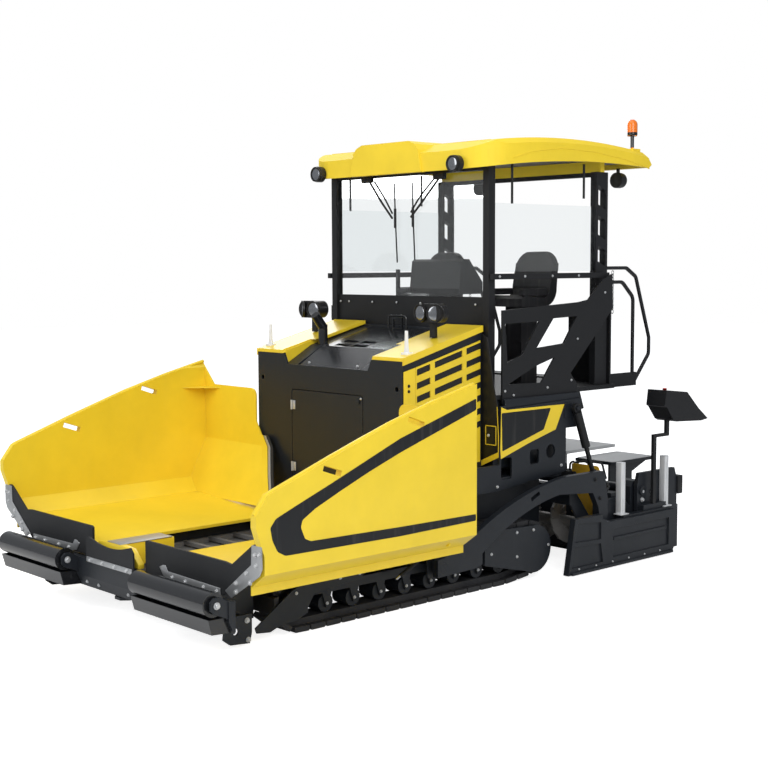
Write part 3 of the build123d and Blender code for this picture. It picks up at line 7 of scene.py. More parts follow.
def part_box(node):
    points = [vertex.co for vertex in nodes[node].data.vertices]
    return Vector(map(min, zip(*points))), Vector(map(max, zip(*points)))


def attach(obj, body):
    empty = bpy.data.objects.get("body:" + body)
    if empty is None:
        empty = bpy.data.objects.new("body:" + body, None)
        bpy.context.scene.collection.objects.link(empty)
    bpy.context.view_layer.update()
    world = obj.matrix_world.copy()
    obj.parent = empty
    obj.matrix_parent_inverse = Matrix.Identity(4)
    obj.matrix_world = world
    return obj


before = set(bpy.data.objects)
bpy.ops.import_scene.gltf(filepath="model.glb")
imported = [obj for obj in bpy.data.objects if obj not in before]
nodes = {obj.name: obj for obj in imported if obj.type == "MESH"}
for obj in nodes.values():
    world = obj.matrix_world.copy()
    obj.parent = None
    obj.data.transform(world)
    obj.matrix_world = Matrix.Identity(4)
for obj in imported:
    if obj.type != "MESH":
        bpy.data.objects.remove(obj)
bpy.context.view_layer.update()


# Ground and room: the paver stands parked on a level, pale shop floor.
# Broad soft boxes light it from both sides and above, and everything round it is white.
def put(tree, kind, sockets=None, **settings):
    node = tree.nodes.new(kind)
    for name, value in settings.items():
        setattr(node, name, value)
    for name, value in (sockets or {}).items():
        if isinstance(value, bpy.types.NodeSocket):
            tree.links.new(value, node.inputs[name])
        else:
            node.inputs[name].default_value = value
    return node


def new_finish(name):
    finish = bpy.data.materials.new(name)
    finish.use_nodes = True
    finish.node_tree.nodes.clear()
    return finish, finish.node_tree


bpy.ops.object.select_all(action="DESELECT")
bpy.ops.mesh.primitive_plane_add(size=90, location=(0, 0, -0.004))
floor = bpy.context.object
floor.name = "shop_floor"
floor_concrete, tree = new_finish("shop_floor_concrete")
place = put(tree, "ShaderNodeTexCoord").outputs["Object"]
mottle = put(tree, "ShaderNodeTexNoise", {"Vector": place, "Scale": 0.7, "Detail": 5.0})
tone = put(tree, "ShaderNodeValToRGB", {"Fac": mottle.outputs["Fac"]})
tone.color_ramp.elements[0].color = (0.80, 0.80, 0.80, 1)
tone.color_ramp.elements[1].color = (0.84, 0.84, 0.84, 1)
concrete = put(tree, "ShaderNodeBsdfPrincipled", {"Base Color": tone.outputs["Color"], "Roughness": 0.9})
glow = put(tree, "ShaderNodeEmission", {"Color": (1, 1, 1, 1), "Strength": 0.84})
lit_floor = put(tree, "ShaderNodeAddShader")
tree.links.new(concrete.outputs["BSDF"], lit_floor.inputs[0])
tree.links.new(glow.outputs["Emission"], lit_floor.inputs[1])
path = put(tree, "ShaderNodeLightPath")
seen = put(tree, "ShaderNodeMath", {0: path.outputs["Is Camera Ray"], 1: path.outputs["Is Transmission Ray"]},
           operation="MAXIMUM")
either = put(tree, "ShaderNodeMixShader", {"Fac": seen.outputs[0]})
tree.links.new(concrete.outputs["BSDF"], either.inputs[1])
tree.links.new(lit_floor.outputs["Shader"], either.inputs[2])
put(tree, "ShaderNodeOutputMaterial", {"Surface": either.outputs["Shader"]})
floor.data.materials.append(floor_concrete)

room = bpy.data.worlds.new("white_room")
room.use_nodes = True
tree = room.node_tree
tree.nodes.clear()
path = put(tree, "ShaderNodeLightPath")
seen = put(tree, "ShaderNodeMath", {0: path.outputs["Is Camera Ray"], 1: path.outputs["Is Transmission Ray"]},
           operation="MAXIMUM")
walls = put(tree, "ShaderNodeBackground", {"Color": (0.83, 0.86, 0.90, 1), "Strength": 0.46})
white = put(tree, "ShaderNodeBackground", {"Color": (1, 1, 1, 1), "Strength": 1.0})
both = put(tree, "ShaderNodeMixShader", {"Fac": seen.outputs[0]})
tree.links.new(walls.outputs["Background"], both.inputs[1])
tree.links.new(white.outputs["Background"], both.inputs[2])
put(tree, "ShaderNodeOutputWorld", {"Surface": both.outputs["Shader"]})
bpy.context.scene.world = room
bpy.context.scene.view_settings.view_transform = "Standard"

for name, spot, aim, size, watts in (
    ("soft_box_side", (8.5, -3.0, 6.5), (0, -0.5, 1.3), 6.0, 450),
    ("soft_box_front", (-1.5, -9.5, 6.0), (0, -1.0, 1.2), 6.0, 370),
    ("soft_box_rear", (-7.0, 6.0, 6.5), (0, 0.5, 1.5), 6.0, 310),
    ("soft_box_above", (0.5, -0.5, 9.5), (0, 0, 1.0), 8.0, 230),
):
    bpy.ops.object.light_add(type="AREA", location=spot)
    box_light = bpy.context.object
    box_light.name = name
    box_light.data.shape = "SQUARE"
    box_light.data.size = size
    box_light.data.energy = watts
    box_light.rotation_euler = (Vector(aim) - Vector(spot)).to_track_quat("-Z", "Y").to_euler()

# The camera stands ahead of the paver and to its left, well above head height, and looks back at it.
# A long lens keeps the machine's edges nearly parallel.
lens_spot = Vector((9.2487, -8.3679, 2.8002))
ahead = (Vector((0, 0, 1.7095)) - lens_spot).normalized()
across = ahead.cross(Vector((0, 0, 1))).normalized()
upward = across.cross(ahead)
lean = radians(-0.2508)
across, upward = across * cos(lean) + upward * sin(lean), upward * cos(lean) - across * sin(lean)
bpy.ops.object.camera_add()
camera = bpy.context.object
camera.matrix_world = Matrix((
    (across.x, upward.x, -ahead.x, lens_spot.x),
    (across.y, upward.y, -ahead.y, lens_spot.y),
    (across.z, upward.z, -ahead.z, lens_spot.z),
    (0, 0, 0, 1),
))
camera.data.sensor_width = 36
camera.data.lens = 64.29
camera.data.shift_x = 0.0073
camera.data.shift_y = -0.0011
camera.data.clip_end = 200
camera.data.dof.use_dof = False
bpy.context.scene.camera = camera


# Chassis: the welded frame, track frames, hood and screed are sprayed in a satin anthracite.
# Platform, rails and cylinders have a black textured coat, and the hood's lid a glossy one.
# Edges are rubbed bare here and there, and fine dust gathers low down and on what faces up.
def sheet_group(name, inputs, outputs):
    group = bpy.data.node_groups.new(name, "ShaderNodeTree")
    for label, kind, value in inputs:
        socket = group.interface.new_socket(label, in_out="INPUT", socket_type=kind)
        socket.default_value = value
    for label, kind in outputs:
        group.interface.new_socket(label, in_out="OUTPUT", socket_type=kind)
    return group, group.nodes.new("NodeGroupInput"), group.nodes.new("NodeGroupOutput")


weathering, given, result = sheet_group(
    "machine_weathering",
    [
        ("Colour", "NodeSocketColor", (0.5, 0.5, 0.5, 1)),
        ("Bare", "NodeSocketColor", (0.3, 0.3, 0.3, 1)),
        ("Dust", "NodeSocketColor", (0.4, 0.38, 0.34, 1)),
        ("Edge wear", "NodeSocketFloat", 0.4),
        ("Dust amount", "NodeSocketFloat", 0.3),
        ("Gloss", "NodeSocketFloat", 0.4),
        ("Streaks", "NodeSocketFloat", 0.2),
    ],
    [
        ("Colour", "NodeSocketColor"),
        ("Roughness", "NodeSocketFloat"),
        ("Worn", "NodeSocketFloat"),
        ("Height", "NodeSocketFloat"),
    ],
)
place = put(weathering, "ShaderNodeTexCoord").outputs["Object"]
cloud = put(weathering, "ShaderNodeTexNoise", {"Vector": place, "Scale": 2.2, "Detail": 6.0,
                                               "Roughness": 0.6})
speckle = put(weathering, "ShaderNodeTexNoise", {"Vector": place, "Scale": 48.0, "Detail": 4.0,
                                                 "Roughness": 0.65})
peel = put(weathering, "ShaderNodeTexNoise", {"Vector": place, "Scale": 420.0, "Detail": 1.0})
long_way = put(weathering, "ShaderNodeMapping", {"Vector": place, "Scale": (22.0, 22.0, 1.6)})
drip = put(weathering, "ShaderNodeTexNoise", {"Vector": long_way.outputs["Vector"], "Scale": 1.0,
                                              "Detail": 5.0})
surface = put(weathering, "ShaderNodeNewGeometry")
rounded = put(weathering, "ShaderNodeBevel", {"Radius": 0.006}, samples=4)
facing = put(weathering, "ShaderNodeVectorMath", {0: rounded.outputs["Normal"],
                                                  1: surface.outputs["True Normal"]},
             operation="DOT_PRODUCT")
edge = put(weathering, "ShaderNodeMapRange", {"Value": facing.outputs["Value"], "From Min": 0.97,
                                              "From Max": 0.80})
chips = put(weathering, "ShaderNodeMapRange", {"Value": speckle.outputs["Fac"], "From Min": 0.50,
                                               "From Max": 0.62})
worn = put(weathering, "ShaderNodeMath", {0: edge.outputs["Result"], 1: chips.outputs["Result"]},
           operation="MULTIPLY")
worn = put(weathering, "ShaderNodeMath", {0: worn.outputs[0], 1: given.outputs["Edge wear"]},
           operation="MULTIPLY")
height = put(weathering, "ShaderNodeSeparateXYZ", {"Vector": place}).outputs["Z"]
low = put(weathering, "ShaderNodeMapRange", {"Value": height, "From Min": 1.1, "From Max": 0.1})
up = put(weathering, "ShaderNodeSeparateXYZ", {"Vector": surface.outputs["Normal"]}).outputs["Z"]
lying = put(weathering, "ShaderNodeMapRange", {"Value": up, "From Min": 0.55, "From Max": 1.0, "To Max": 0.5})
settled = put(weathering, "ShaderNodeMath", {0: low.outputs["Result"], 1: lying.outputs["Result"]},
              operation="MAXIMUM")
patchy = put(weathering, "ShaderNodeMapRange", {"Value": cloud.outputs["Fac"], "From Min": 0.35,
                                                "From Max": 0.75})
settled = put(weathering, "ShaderNodeMath", {0: settled.outputs[0], 1: patchy.outputs["Result"]},
              operation="MULTIPLY")
run_marks = put(weathering, "ShaderNodeMapRange",
                {"Value": drip.outputs["Fac"], "From Min": 0.52, "From Max": 0.80})
run_marks = put(weathering, "ShaderNodeMath", {0: run_marks.outputs["Result"], 1: given.outputs["Streaks"]},
                operation="MULTIPLY")
settled = put(weathering, "ShaderNodeMath", {0: settled.outputs[0], 1: given.outputs["Dust amount"]},
              operation="MULTIPLY_ADD", use_clamp=True)
weathering.links.new(run_marks.outputs[0], settled.inputs[2])
deeper = put(weathering, "ShaderNodeMapRange", {"Value": cloud.outputs["Fac"], "From Min": 0.3,
                                                "From Max": 0.7, "To Min": 0.93, "To Max": 1.04})
toned = put(weathering, "ShaderNodeVectorMath", {0: given.outputs["Colour"]}, operation="SCALE")
weathering.links.new(deeper.outputs["Result"], toned.inputs["Scale"])
dusted = put(weathering, "ShaderNodeMix", {"Factor": settled.outputs[0]}, data_type="RGBA")
weathering.links.new(toned.outputs["Vector"], dusted.inputs[6])
weathering.links.new(given.outputs["Dust"], dusted.inputs[7])
bared = put(weathering, "ShaderNodeMix", {"Factor": worn.outputs[0]}, data_type="RGBA")
weathering.links.new(dusted.outputs[2], bared.inputs[6])
weathering.links.new(given.outputs["Bare"], bared.inputs[7])
dull = put(weathering, "ShaderNodeMath", {0: settled.outputs[0], 1: 0.45, 2: given.outputs["Gloss"]},
           operation="MULTIPLY_ADD")
smear = put(weathering, "ShaderNodeMapRange", {"Value": speckle.outputs["Fac"], "From Min": 0.3,
                                               "From Max": 0.7, "To Min": -0.015, "To Max": 0.015})
dull = put(weathering, "ShaderNodeMath", {0: dull.outputs[0], 1: smear.outputs["Result"]}, operation="ADD",
           use_clamp=True)
grain = put(weathering, "ShaderNodeMath", {0: peel.outputs["Fac"], 1: worn.outputs[0]}, operation="SUBTRACT")
weathering.links.new(bared.outputs[2], result.inputs["Colour"])
weathering.links.new(dull.outputs[0], result.inputs["Roughness"])
weathering.links.new(worn.outputs[0], result.inputs["Worn"])
weathering.links.new(grain.outputs[0], result.inputs["Height"])


def weathered(name, colour, bare, gloss, wear=0.4, dust=0.3, streaks=0.1, bump=0.05, coat=0.0, metal=0.0,
              dust_colour=(0.30, 0.28, 0.25, 1), edge=0.004):
    finish, tree = new_finish(name)
    skin = put(tree, "ShaderNodeGroup", node_tree=weathering)
    for label, value in (("Colour", (*colour, 1)), ("Bare", (*bare, 1)), ("Dust", dust_colour),
                         ("Edge wear", wear), ("Dust amount", dust), ("Gloss", gloss),
                         ("Streaks", streaks)):
        skin.inputs[label].default_value = value
    soft_edge = put(tree, "ShaderNodeBevel", {"Radius": edge}, samples=4)
    relief = put(tree, "ShaderNodeBump", {"Height": skin.outputs["Height"], "Strength": bump,
                                          "Distance": 0.002, "Normal": soft_edge.outputs["Normal"]})
    body = put(tree, "ShaderNodeBsdfPrincipled", {"Base Color": skin.outputs["Colour"],
                                                  "Roughness": skin.outputs["Roughness"], "Metallic": metal,
                                                  "Normal": relief.outputs["Normal"],
                                                  "Specular IOR Level": 0.36, "Coat Weight": coat,
                                                  "Coat Roughness": 0.12})
    put(tree, "ShaderNodeOutputMaterial", {"Surface": body.outputs["BSDF"]})
    return finish


def coat_nodes(finish, *names):
    for name in names:
        for slot in nodes[name].material_slots:
            slot.material = finish


anthracite = weathered("anthracite_satin", (0.0115, 0.0145, 0.0195), (0.12, 0.125, 0.13), 0.38, wear=0.45,
                       dust=0.07, streaks=0.01, dust_colour=(0.17, 0.165, 0.16, 1))
coat_nodes(anthracite, "main_frame", "rear_housing", "hood_shell", "service_door", "side_panel_left",
           "side_panel_right", "track_frame_left", "track_frame_right", "push_carrier", "auger_carrier",
           "tow_arm_left", "tow_arm_right", "screed_body", "extension_left", "extension_right",
           "end_plate_left", "end_plate_right")
black_coat = weathered("black_textured_coat", (0.0085, 0.009, 0.0105), (0.09, 0.09, 0.095), 0.48, wear=0.25,
                       dust=0.04, streaks=0.0, bump=0.22)
coat_nodes(black_coat, "cab_frame", "platform_side_left", "platform_side_right", "platform_deck", "handrails",
           "access_step", "exhaust_stub", "console", "control_post_left", "control_post_right",
           "levelling_left", "levelling_right", "lift_barrel_left", "lift_barrel_right")
lid_black = weathered("lid_black_gloss", (0.010, 0.011, 0.013), (0.12, 0.12, 0.12), 0.24, wear=0.2,
                      dust=0.04, streaks=0.0, bump=0.02, coat=0.4)
coat_nodes(lid_black, "hood_lid")
cast_iron = weathered("cast_iron", (0.06, 0.06, 0.062), (0.2, 0.2, 0.2), 0.6, wear=0.4, dust=0.3, bump=0.3)
coat_nodes(cast_iron, "engine_block")

# Tracks: steel links carry flat shoes, sprayed dark with the frame and scuffed by the ground.
# Road dust clings to them, so they are duller than the frame.
shoe_steel = weathered("track_shoe_steel", (0.022, 0.023, 0.026), (0.15, 0.147, 0.145), 0.55, wear=0.8,
                       dust=0.18, streaks=0.05, bump=0.35, dust_colour=(0.16, 0.15, 0.14, 1))
coat_nodes(shoe_steel, "track_left", "track_right")

# Yellow work: hopper wings, hood cheeks and louvred sheets are steel under a glossy signal yellow enamel.
# The canopy is moulded glass-fibre in a duller gelcoat of the same colour.
yellow = weathered("signal_yellow_enamel", (0.905, 0.655, 0.032), (0.55, 0.50, 0.38), 0.34, wear=0.12,
                   dust=0.04, streaks=0.02, bump=0.03, coat=0.22, dust_colour=(0.62, 0.50, 0.22, 1))
coat_nodes(yellow, "hopper_wing_left", "hopper_wing_right", "hood_cheeks", "hood_louvres")
canopy_yellow = weathered("canopy_gelcoat", (0.900, 0.655, 0.032), (0.55, 0.50, 0.38), 0.58, wear=0.05,
                          dust=0.04, streaks=0.02, bump=0.03, dust_colour=(0.62, 0.50, 0.22, 1))
coat_nodes(canopy_yellow, "canopy")

# Rubber: thick black sheets close the hopper's front and the gap between its wings.
# They are cut from flat stock and clamped under galvanised strips.
rubber = weathered("hopper_rubber", (0.014, 0.015, 0.017), (0.05, 0.05, 0.05), 0.62, wear=0.3, dust=0.10,
                   streaks=0.03, bump=0.4, dust_colour=(0.12, 0.12, 0.12, 1))
coat_nodes(rubber, "hopper_apron_left", "hopper_apron_right", "centre_flap")

# Push rollers: plain steel drums that push the tipper truck along by its tyres.
# They are painted black, and the tyres keep them glossy.
roller_black = weathered("push_roller_black", (0.010, 0.011, 0.013), (0.16, 0.16, 0.16), 0.20, wear=0.4,
                         dust=0.02, streaks=0.0, bump=0.02, coat=0.6)
coat_nodes(roller_black, "push_roller_left", "push_roller_right")

# Conveyor and augers: bare steel bars and blades, scoured by the hot mix.
# The rods of the levelling cylinders are chromed, and those of the lift cylinders are painted.
scoured = weathered("scoured_steel", (0.22, 0.215, 0.21), (0.45, 0.44, 0.42), 0.48, wear=0.6, dust=0.2,
                    bump=0.25, metal=0.6)
coat_nodes(scoured, "conveyor", "auger_left", "auger_right")
chrome = weathered("chromed_rod", (0.70, 0.71, 0.72), (0.8, 0.8, 0.8), 0.12, wear=0.0, dust=0.03, bump=0.0,
                   metal=1.0)
coat_nodes(black_coat, "lift_rod_left", "lift_rod_right")


# Glass and plastics: clear laminated panes, an amber beacon and black moulded lamp housings.
# The seats are covered in black vinyl, and the walkways have a grey coat.
def clear_pane(name, colour, rough):
    finish, tree = new_finish(name)
    place = put(tree, "ShaderNodeTexCoord").outputs["Object"]
    film = put(tree, "ShaderNodeTexNoise", {"Vector": place, "Scale": 3.0, "Detail": 5.0})
    haze = put(tree, "ShaderNodeMapRange", {"Value": film.outputs["Fac"], "From Min": 0.35, "From Max": 0.75,
                                            "To Min": rough, "To Max": rough + 0.03})
    pane = put(tree, "ShaderNodeBsdfPrincipled", {"Base Color": (*colour, 1),
                                                  "Roughness": haze.outputs["Result"],
                                                  "Transmission Weight": 1.0, "IOR": 1.45})
    put(tree, "ShaderNodeOutputMaterial", {"Surface": pane.outputs["BSDF"]})
    return finish


pane_glass = clear_pane("laminated_glass", (0.90, 0.925, 0.93), 0.01)
coat_nodes(pane_glass, "windscreen", "side_screens")
amber = clear_pane("amber_dome", (1.0, 0.30, 0.02), 0.05)
coat_nodes(amber, "beacon")
lamp_black = weathered("lamp_housing_plastic", (0.010, 0.010, 0.011), (0.05, 0.05, 0.05), 0.38, wear=0.1,
                       dust=0.03, bump=0.12)
coat_nodes(lamp_black, "roof_lamps", "work_lamps")
seat_black = weathered("seat_vinyl", (0.014, 0.014, 0.016), (0.03, 0.03, 0.03), 0.42, wear=0.1, dust=0.05,
                       bump=0.3)
coat_nodes(seat_black, "seats")
tread_grey = weathered("walkway_grey", (0.55, 0.56, 0.57), (0.6, 0.6, 0.6), 0.5, wear=0.2, dust=0.3, bump=0.2)
coat_nodes(tread_grey, "screed_walkway")


# Hopper side stripe: a broad band of thick dark film on the outer face of each wing.
# It runs under the ridge, round the nose and back along the foot.
def clear_picks():
    if bpy.context.object and bpy.context.object.mode != "OBJECT":
        bpy.ops.object.mode_set(mode="OBJECT")
    bpy.ops.object.select_all(action="DESELECT")


def finish_piece(piece, name, finish, body, smooth=35):
    clear_picks()
    piece.select_set(True)
    bpy.context.view_layer.objects.active = piece
    bpy.ops.object.transform_apply(location=True, rotation=True, scale=True)
    bpy.ops.object.shade_smooth_by_angle(angle=radians(smooth))
    piece.name = name
    piece.data.name = name
    piece.data.materials.clear()
    piece.data.materials.append(finish)
    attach(piece, body)
    return piece


def other_hand(piece, name, body):
    clear_picks()
    twin = piece.copy()
    twin.data = piece.data.copy()
    bpy.context.collection.objects.link(twin)
    twin.parent = None
    twin.matrix_world = Matrix.Diagonal((-1, 1, 1, 1))
    twin.select_set(True)
    bpy.context.view_layer.objects.active = twin
    bpy.ops.object.transform_apply(location=True, rotation=True, scale=True)
    bpy.ops.object.mode_set(mode="EDIT")
    bpy.ops.mesh.select_all(action="SELECT")
    bpy.ops.mesh.normals_make_consistent(inside=False)
    bpy.ops.object.mode_set(mode="OBJECT")
    twin.name = name
    twin.data.name = name
    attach(twin, body)
    return twin


def make_pair(piece, name, finish, body):
    near_one = finish_piece(piece, name + "_left", finish, body)
    other_hand(near_one, name + "_right", body.replace("_left", "_right"))


def at_x(x, outline):
    return [(x, y, z) for y, z in outline]


def at_y(y, outline):
    return [(x, y, z) for x, z in outline]


def at_z(z, outline):
    return [(x, y, z) for x, y in outline]


def draw_line(points):
    clear_picks()
    bpy.ops.mesh.primitive_plane_add(size=0.01, location=points[0])
    bpy.ops.object.mode_set(mode="EDIT")
    bpy.ops.mesh.merge(type="CENTER")
    for start, end in zip(points, points[1:]):
        step = Vector(end) - Vector(start)
        bpy.ops.mesh.extrude_vertices_move(TRANSFORM_OT_translate={"value": step})
    return bpy.context.object


def cut_plate(outline, push, corner=0.0, edge=0.0):
    plate = draw_line(outline)
    bpy.ops.mesh.select_all(action="SELECT")
    bpy.ops.mesh.edge_face_add()
    if corner:
        bpy.ops.mesh.bevel(offset=corner, segments=3, affect="VERTICES", clamp_overlap=True)
    bpy.ops.mesh.select_all(action="SELECT")
    bpy.ops.mesh.extrude_region_move(TRANSFORM_OT_translate={"value": Vector(push)})
    bpy.ops.mesh.select_all(action="SELECT")
    bpy.ops.mesh.normals_make_consistent(inside=False)
    bpy.ops.object.mode_set(mode="OBJECT")
    if edge:
        bevel = plate.modifiers.new("edge", "BEVEL")
        bevel.width = edge
        bevel.segments = 2
        bevel.limit_method = "ANGLE"
        bevel.angle_limit = radians(40)
        bpy.ops.object.modifier_apply(modifier="edge")
    return plate


stripe_black = weathered("stripe_black", (0.007, 0.008, 0.010), (0.5, 0.4, 0.05), 0.46, wear=0.0, dust=0.03,
                         bump=0.03)
film_thick = 0.0012
side_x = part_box("hopper_wing_left")[1].x
band = [(-0.655, 1.745), (-1.469, 1.502), (-1.817, 1.366), (-2.151, 1.236), (-2.471, 1.116),
        (-2.640, 1.050), (-2.690, 0.992), (-2.672, 0.900), (-2.628, 0.817), (-2.560, 0.780), (-1.472, 0.768),
        (-0.655, 0.780), (-0.655, 0.832), (-1.472, 0.838), (-2.330, 0.852), (-2.384, 0.875), (-2.421, 0.962),
        (-2.405, 1.012), (-2.291, 1.078), (-2.058, 1.176), (-1.769, 1.290), (-1.469, 1.397), (-0.655, 1.655)]
stripe = cut_plate(at_x(side_x + 0.0004, band), (film_thick, 0, 0), corner=0.012)
make_pair(stripe, "wing_stripe", stripe_black, "wing_left")


# Galvanised strips: they clamp the rubber along its foot, up the wings' outer corners and on the flap.
# They are cut from flat plate, with zinc-plated bolts through them.
def joined(*pieces):
    clear_picks()
    for piece in pieces:
        piece.select_set(True)
    bpy.context.view_layer.objects.active = pieces[0]
    bpy.ops.object.join()
    return bpy.context.object


def set_out(pattern, spots):
    bpy.context.view_layer.update()
    copies = []
    for spot, facing in spots:
        one = pattern.copy()
        one.data = pattern.data.copy()
        bpy.context.collection.objects.link(one)
        turn = Vector(facing).to_track_quat("Z", "X").to_matrix().to_4x4()
        one.matrix_world = Matrix.Translation(spot) @ turn @ pattern.matrix_world
        copies.append(one)
    bpy.data.objects.remove(pattern)
    return joined(*copies)


def bolt_heads(name, finish, body, spots, size=0.013):
    clear_picks()
    bpy.ops.mesh.primitive_cylinder_add(vertices=14, radius=size * 1.35, depth=size * 0.3,
                                        location=(0, 0, size * 0.15))
    washer = bpy.context.object
    bpy.ops.mesh.primitive_cylinder_add(vertices=6, radius=size, depth=size * 0.8,
                                        location=(0, 0, size * 0.7))
    head = bpy.context.object
    bpy.ops.object.mode_set(mode="EDIT")
    bpy.ops.mesh.select_all(action="SELECT")
    bpy.ops.mesh.bevel(offset=size * 0.12, segments=1, affect="EDGES")
    bpy.ops.object.mode_set(mode="OBJECT")
    return finish_piece(set_out(joined(head, washer), spots), name, finish, body)


def bolt_pair(name, finish, body, spots, size=0.013):
    heads = bolt_heads(name + "_left", finish, body, spots, size)
    other_hand(heads, name + "_right", body.replace("_left", "_right"))


def facing_all(facing, places):
    return [(place, facing) for place in places]


zinc = weathered("galvanised_zinc", (0.44, 0.45, 0.46), (0.6, 0.6, 0.6), 0.42, wear=0.2, dust=0.12,
                 streaks=0.1, bump=0.12, metal=0.75, dust_colour=(0.30, 0.30, 0.30, 1))
bolt_zinc = weathered("bolt_zinc", (0.62, 0.63, 0.64), (0.7, 0.7, 0.7), 0.30, wear=0.0, dust=0.05,
                      bump=0.05, metal=0.6)
front = (0, -1, 0)
strip_thick = 0.006
strip_gap = 0.0005
apron_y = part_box("hopper_apron_left")[0].y
foot_shape = [(0.590, 0.530), (0.640, 0.552), (0.672, 0.552), (0.700, 0.512), (1.368, 0.500),
              (1.368, 0.444), (0.745, 0.446), (0.640, 0.470)]
foot_strip = cut_plate(at_y(apron_y - strip_gap, foot_shape), (0, -strip_thick, 0), corner=0.006, edge=0.0015)
make_pair(foot_strip, "apron_strip", zinc, "wing_left")
corner_shape = [(1.428, 0.494), (1.740, 0.728), (1.748, 0.868), (1.862, 0.872), (1.866, 0.716),
                (1.835, 0.660), (1.500, 0.452)]
corner_strip = cut_plate(at_y(apron_y - strip_gap, corner_shape), (0, -strip_thick, 0), corner=0.008,
                         edge=0.0015)
make_pair(corner_strip, "corner_strip", zinc, "wing_left")
bolt_places = [(0.763, 0.474), (0.934, 0.472), (1.166, 0.471), (1.330, 0.470), (1.564, 0.570),
               (1.690, 0.660), (1.562, 0.508), (1.730, 0.600), (1.790, 0.805), (1.838, 0.812),
               (1.800, 0.730)]
strip_bolts = facing_all(front, at_y(apron_y - strip_thick, bolt_places))
bolt_pair("apron_bolts", bolt_zinc, "wing_left", strip_bolts, 0.014)
flap_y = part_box("centre_flap")[0].y
flap_shape = [(-0.335, 0.478), (0.335, 0.478), (0.335, 0.436), (-0.335, 0.436)]
flap_strip = cut_plate(at_y(flap_y - strip_gap, flap_shape), (0, -strip_thick, 0), corner=0.004, edge=0.0015)
finish_piece(flap_strip, "flap_strip", zinc, "tractor")
flap_bolts = [(x, flap_y - strip_thick, 0.457) for x in (-0.27, -0.09, 0.09, 0.27)]
bolt_heads("flap_bolts", bolt_zinc, "tractor", facing_all(front, flap_bolts), 0.014)

# Push roller hubs and nose: each drum turns on a pin with a zinc-plated bolt in either end.
# Three bolts hold each deflector plate beside the tracks.
drum_y, drum_z = -2.93, 0.432
hub_spots = []
for side in (-1, 1):
    for x, out in ((0.503, -1), (1.553, 1)):
        hub_spots.append(((side * x, drum_y, drum_z), (side * out, 0, 0)))
bolt_heads("push_roller_hub_bolts", bolt_zinc, "tractor", hub_spots, 0.020)
deflector_x = 1.310
nose_spots = []
for side in (-1, 1):
    for y, z in ((-2.654, 0.205), (-2.490, 0.205), (-2.480, 0.060)):
        nose_spots.append(((side * deflector_x, y, z), (side, 0, 0)))
bolt_heads("deflector_bolts", bolt_zinc, "tractor", nose_spots, 0.016)


# Windscreen gear: two wipers with twin arms of black spring steel hang from the canopy's front beam.
# Their blades are rubber in a thin carrier, and steel rods hold the tops of the side screens.
def bent_rod(points, radius, bend=0.0, sides=2):
    rod = draw_line(points)
    if bend:
        bpy.ops.mesh.select_all(action="SELECT")
        bpy.ops.mesh.bevel(offset=bend, segments=4, affect="VERTICES")
    bpy.ops.object.mode_set(mode="OBJECT")
    bpy.ops.object.convert(target="CURVE")
    rod = bpy.context.object
    rod.data.bevel_depth = radius
    rod.data.bevel_resolution = sides
    rod.data.use_fill_caps = True
    bpy.ops.object.convert(target="MESH")
    return bpy.context.object


def bar(low, high, edge=0.003):
    clear_picks()
    low, high = Vector(low), Vector(high)
    bpy.ops.mesh.primitive_cube_add(size=1, location=(low + high) / 2, scale=high - low)
    block = bpy.context.object
    bpy.ops.object.transform_apply(location=True, rotation=True, scale=True)
    bpy.ops.object.mode_set(mode="EDIT")
    bpy.ops.mesh.select_all(action="SELECT")
    bpy.ops.mesh.bevel(offset=edge, segments=2, affect="EDGES")
    bpy.ops.object.mode_set(mode="OBJECT")
    return block


glass_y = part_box("windscreen")[0].y
blade_y = glass_y - 0.014
for name, hub, elbow, blade, foot in (
    ("wiper_left", (0.45, 3.575), (0.055, 3.230), (0.068, 3.535), (0.100, 2.828)),
    ("wiper_right", (-0.52, 3.585), (-0.195, 3.225), (-0.174, 3.535), (-0.136, 2.806)),
):
    inward = -1 if hub[0] > 0 else 1
    knee_x, knee_z = hub[0] * 0.45 + elbow[0] * 0.55, (hub[1] + elbow[1]) / 2
    middle_x = (blade[0] + foot[0]) / 2
    arm = bent_rod([(hub[0], blade_y - 0.012, hub[1]), (knee_x, blade_y - 0.014, knee_z - 0.03),
                    (elbow[0], blade_y - 0.006, elbow[1] - 0.01)], 0.010, 0.05)
    twin_arm = bent_rod([(hub[0] + 0.085 * inward, blade_y - 0.012, hub[1] - 0.02),
                         (knee_x + 0.05 * inward, blade_y - 0.014, knee_z),
                         (elbow[0], blade_y - 0.006, elbow[1] + 0.035)], 0.008, 0.05)
    rubber_edge = bent_rod([(blade[0], blade_y, blade[1]),
                            (middle_x, blade_y - 0.003, (blade[1] + foot[1]) / 2),
                            (foot[0], blade_y, foot[1])], 0.007)
    carrier = bar((middle_x - 0.013, blade_y - 0.014, elbow[1] - 0.10),
                  (middle_x + 0.013, blade_y - 0.001, elbow[1] + 0.08), 0.003)
    motor = bar((hub[0] - 0.07, blade_y - 0.05, hub[1] - 0.03),
                (hub[0] + 0.07, blade_y - 0.002, hub[1] + 0.03), 0.012)
    finish_piece(joined(arm, twin_arm, rubber_edge, carrier, motor), name, rubber, "tractor")
rod_x = 1.075
rods = []
for side in (-1, 1):
    for y, top, low in ((0.613, 3.66, 3.315), (1.590, 3.70, 3.385)):
        rods.append(bent_rod([(side * rod_x, y, top), (side * rod_x, y, low)], 0.011))
finish_piece(joined(*rods), "side_glass_rods", black_coat, "tractor")

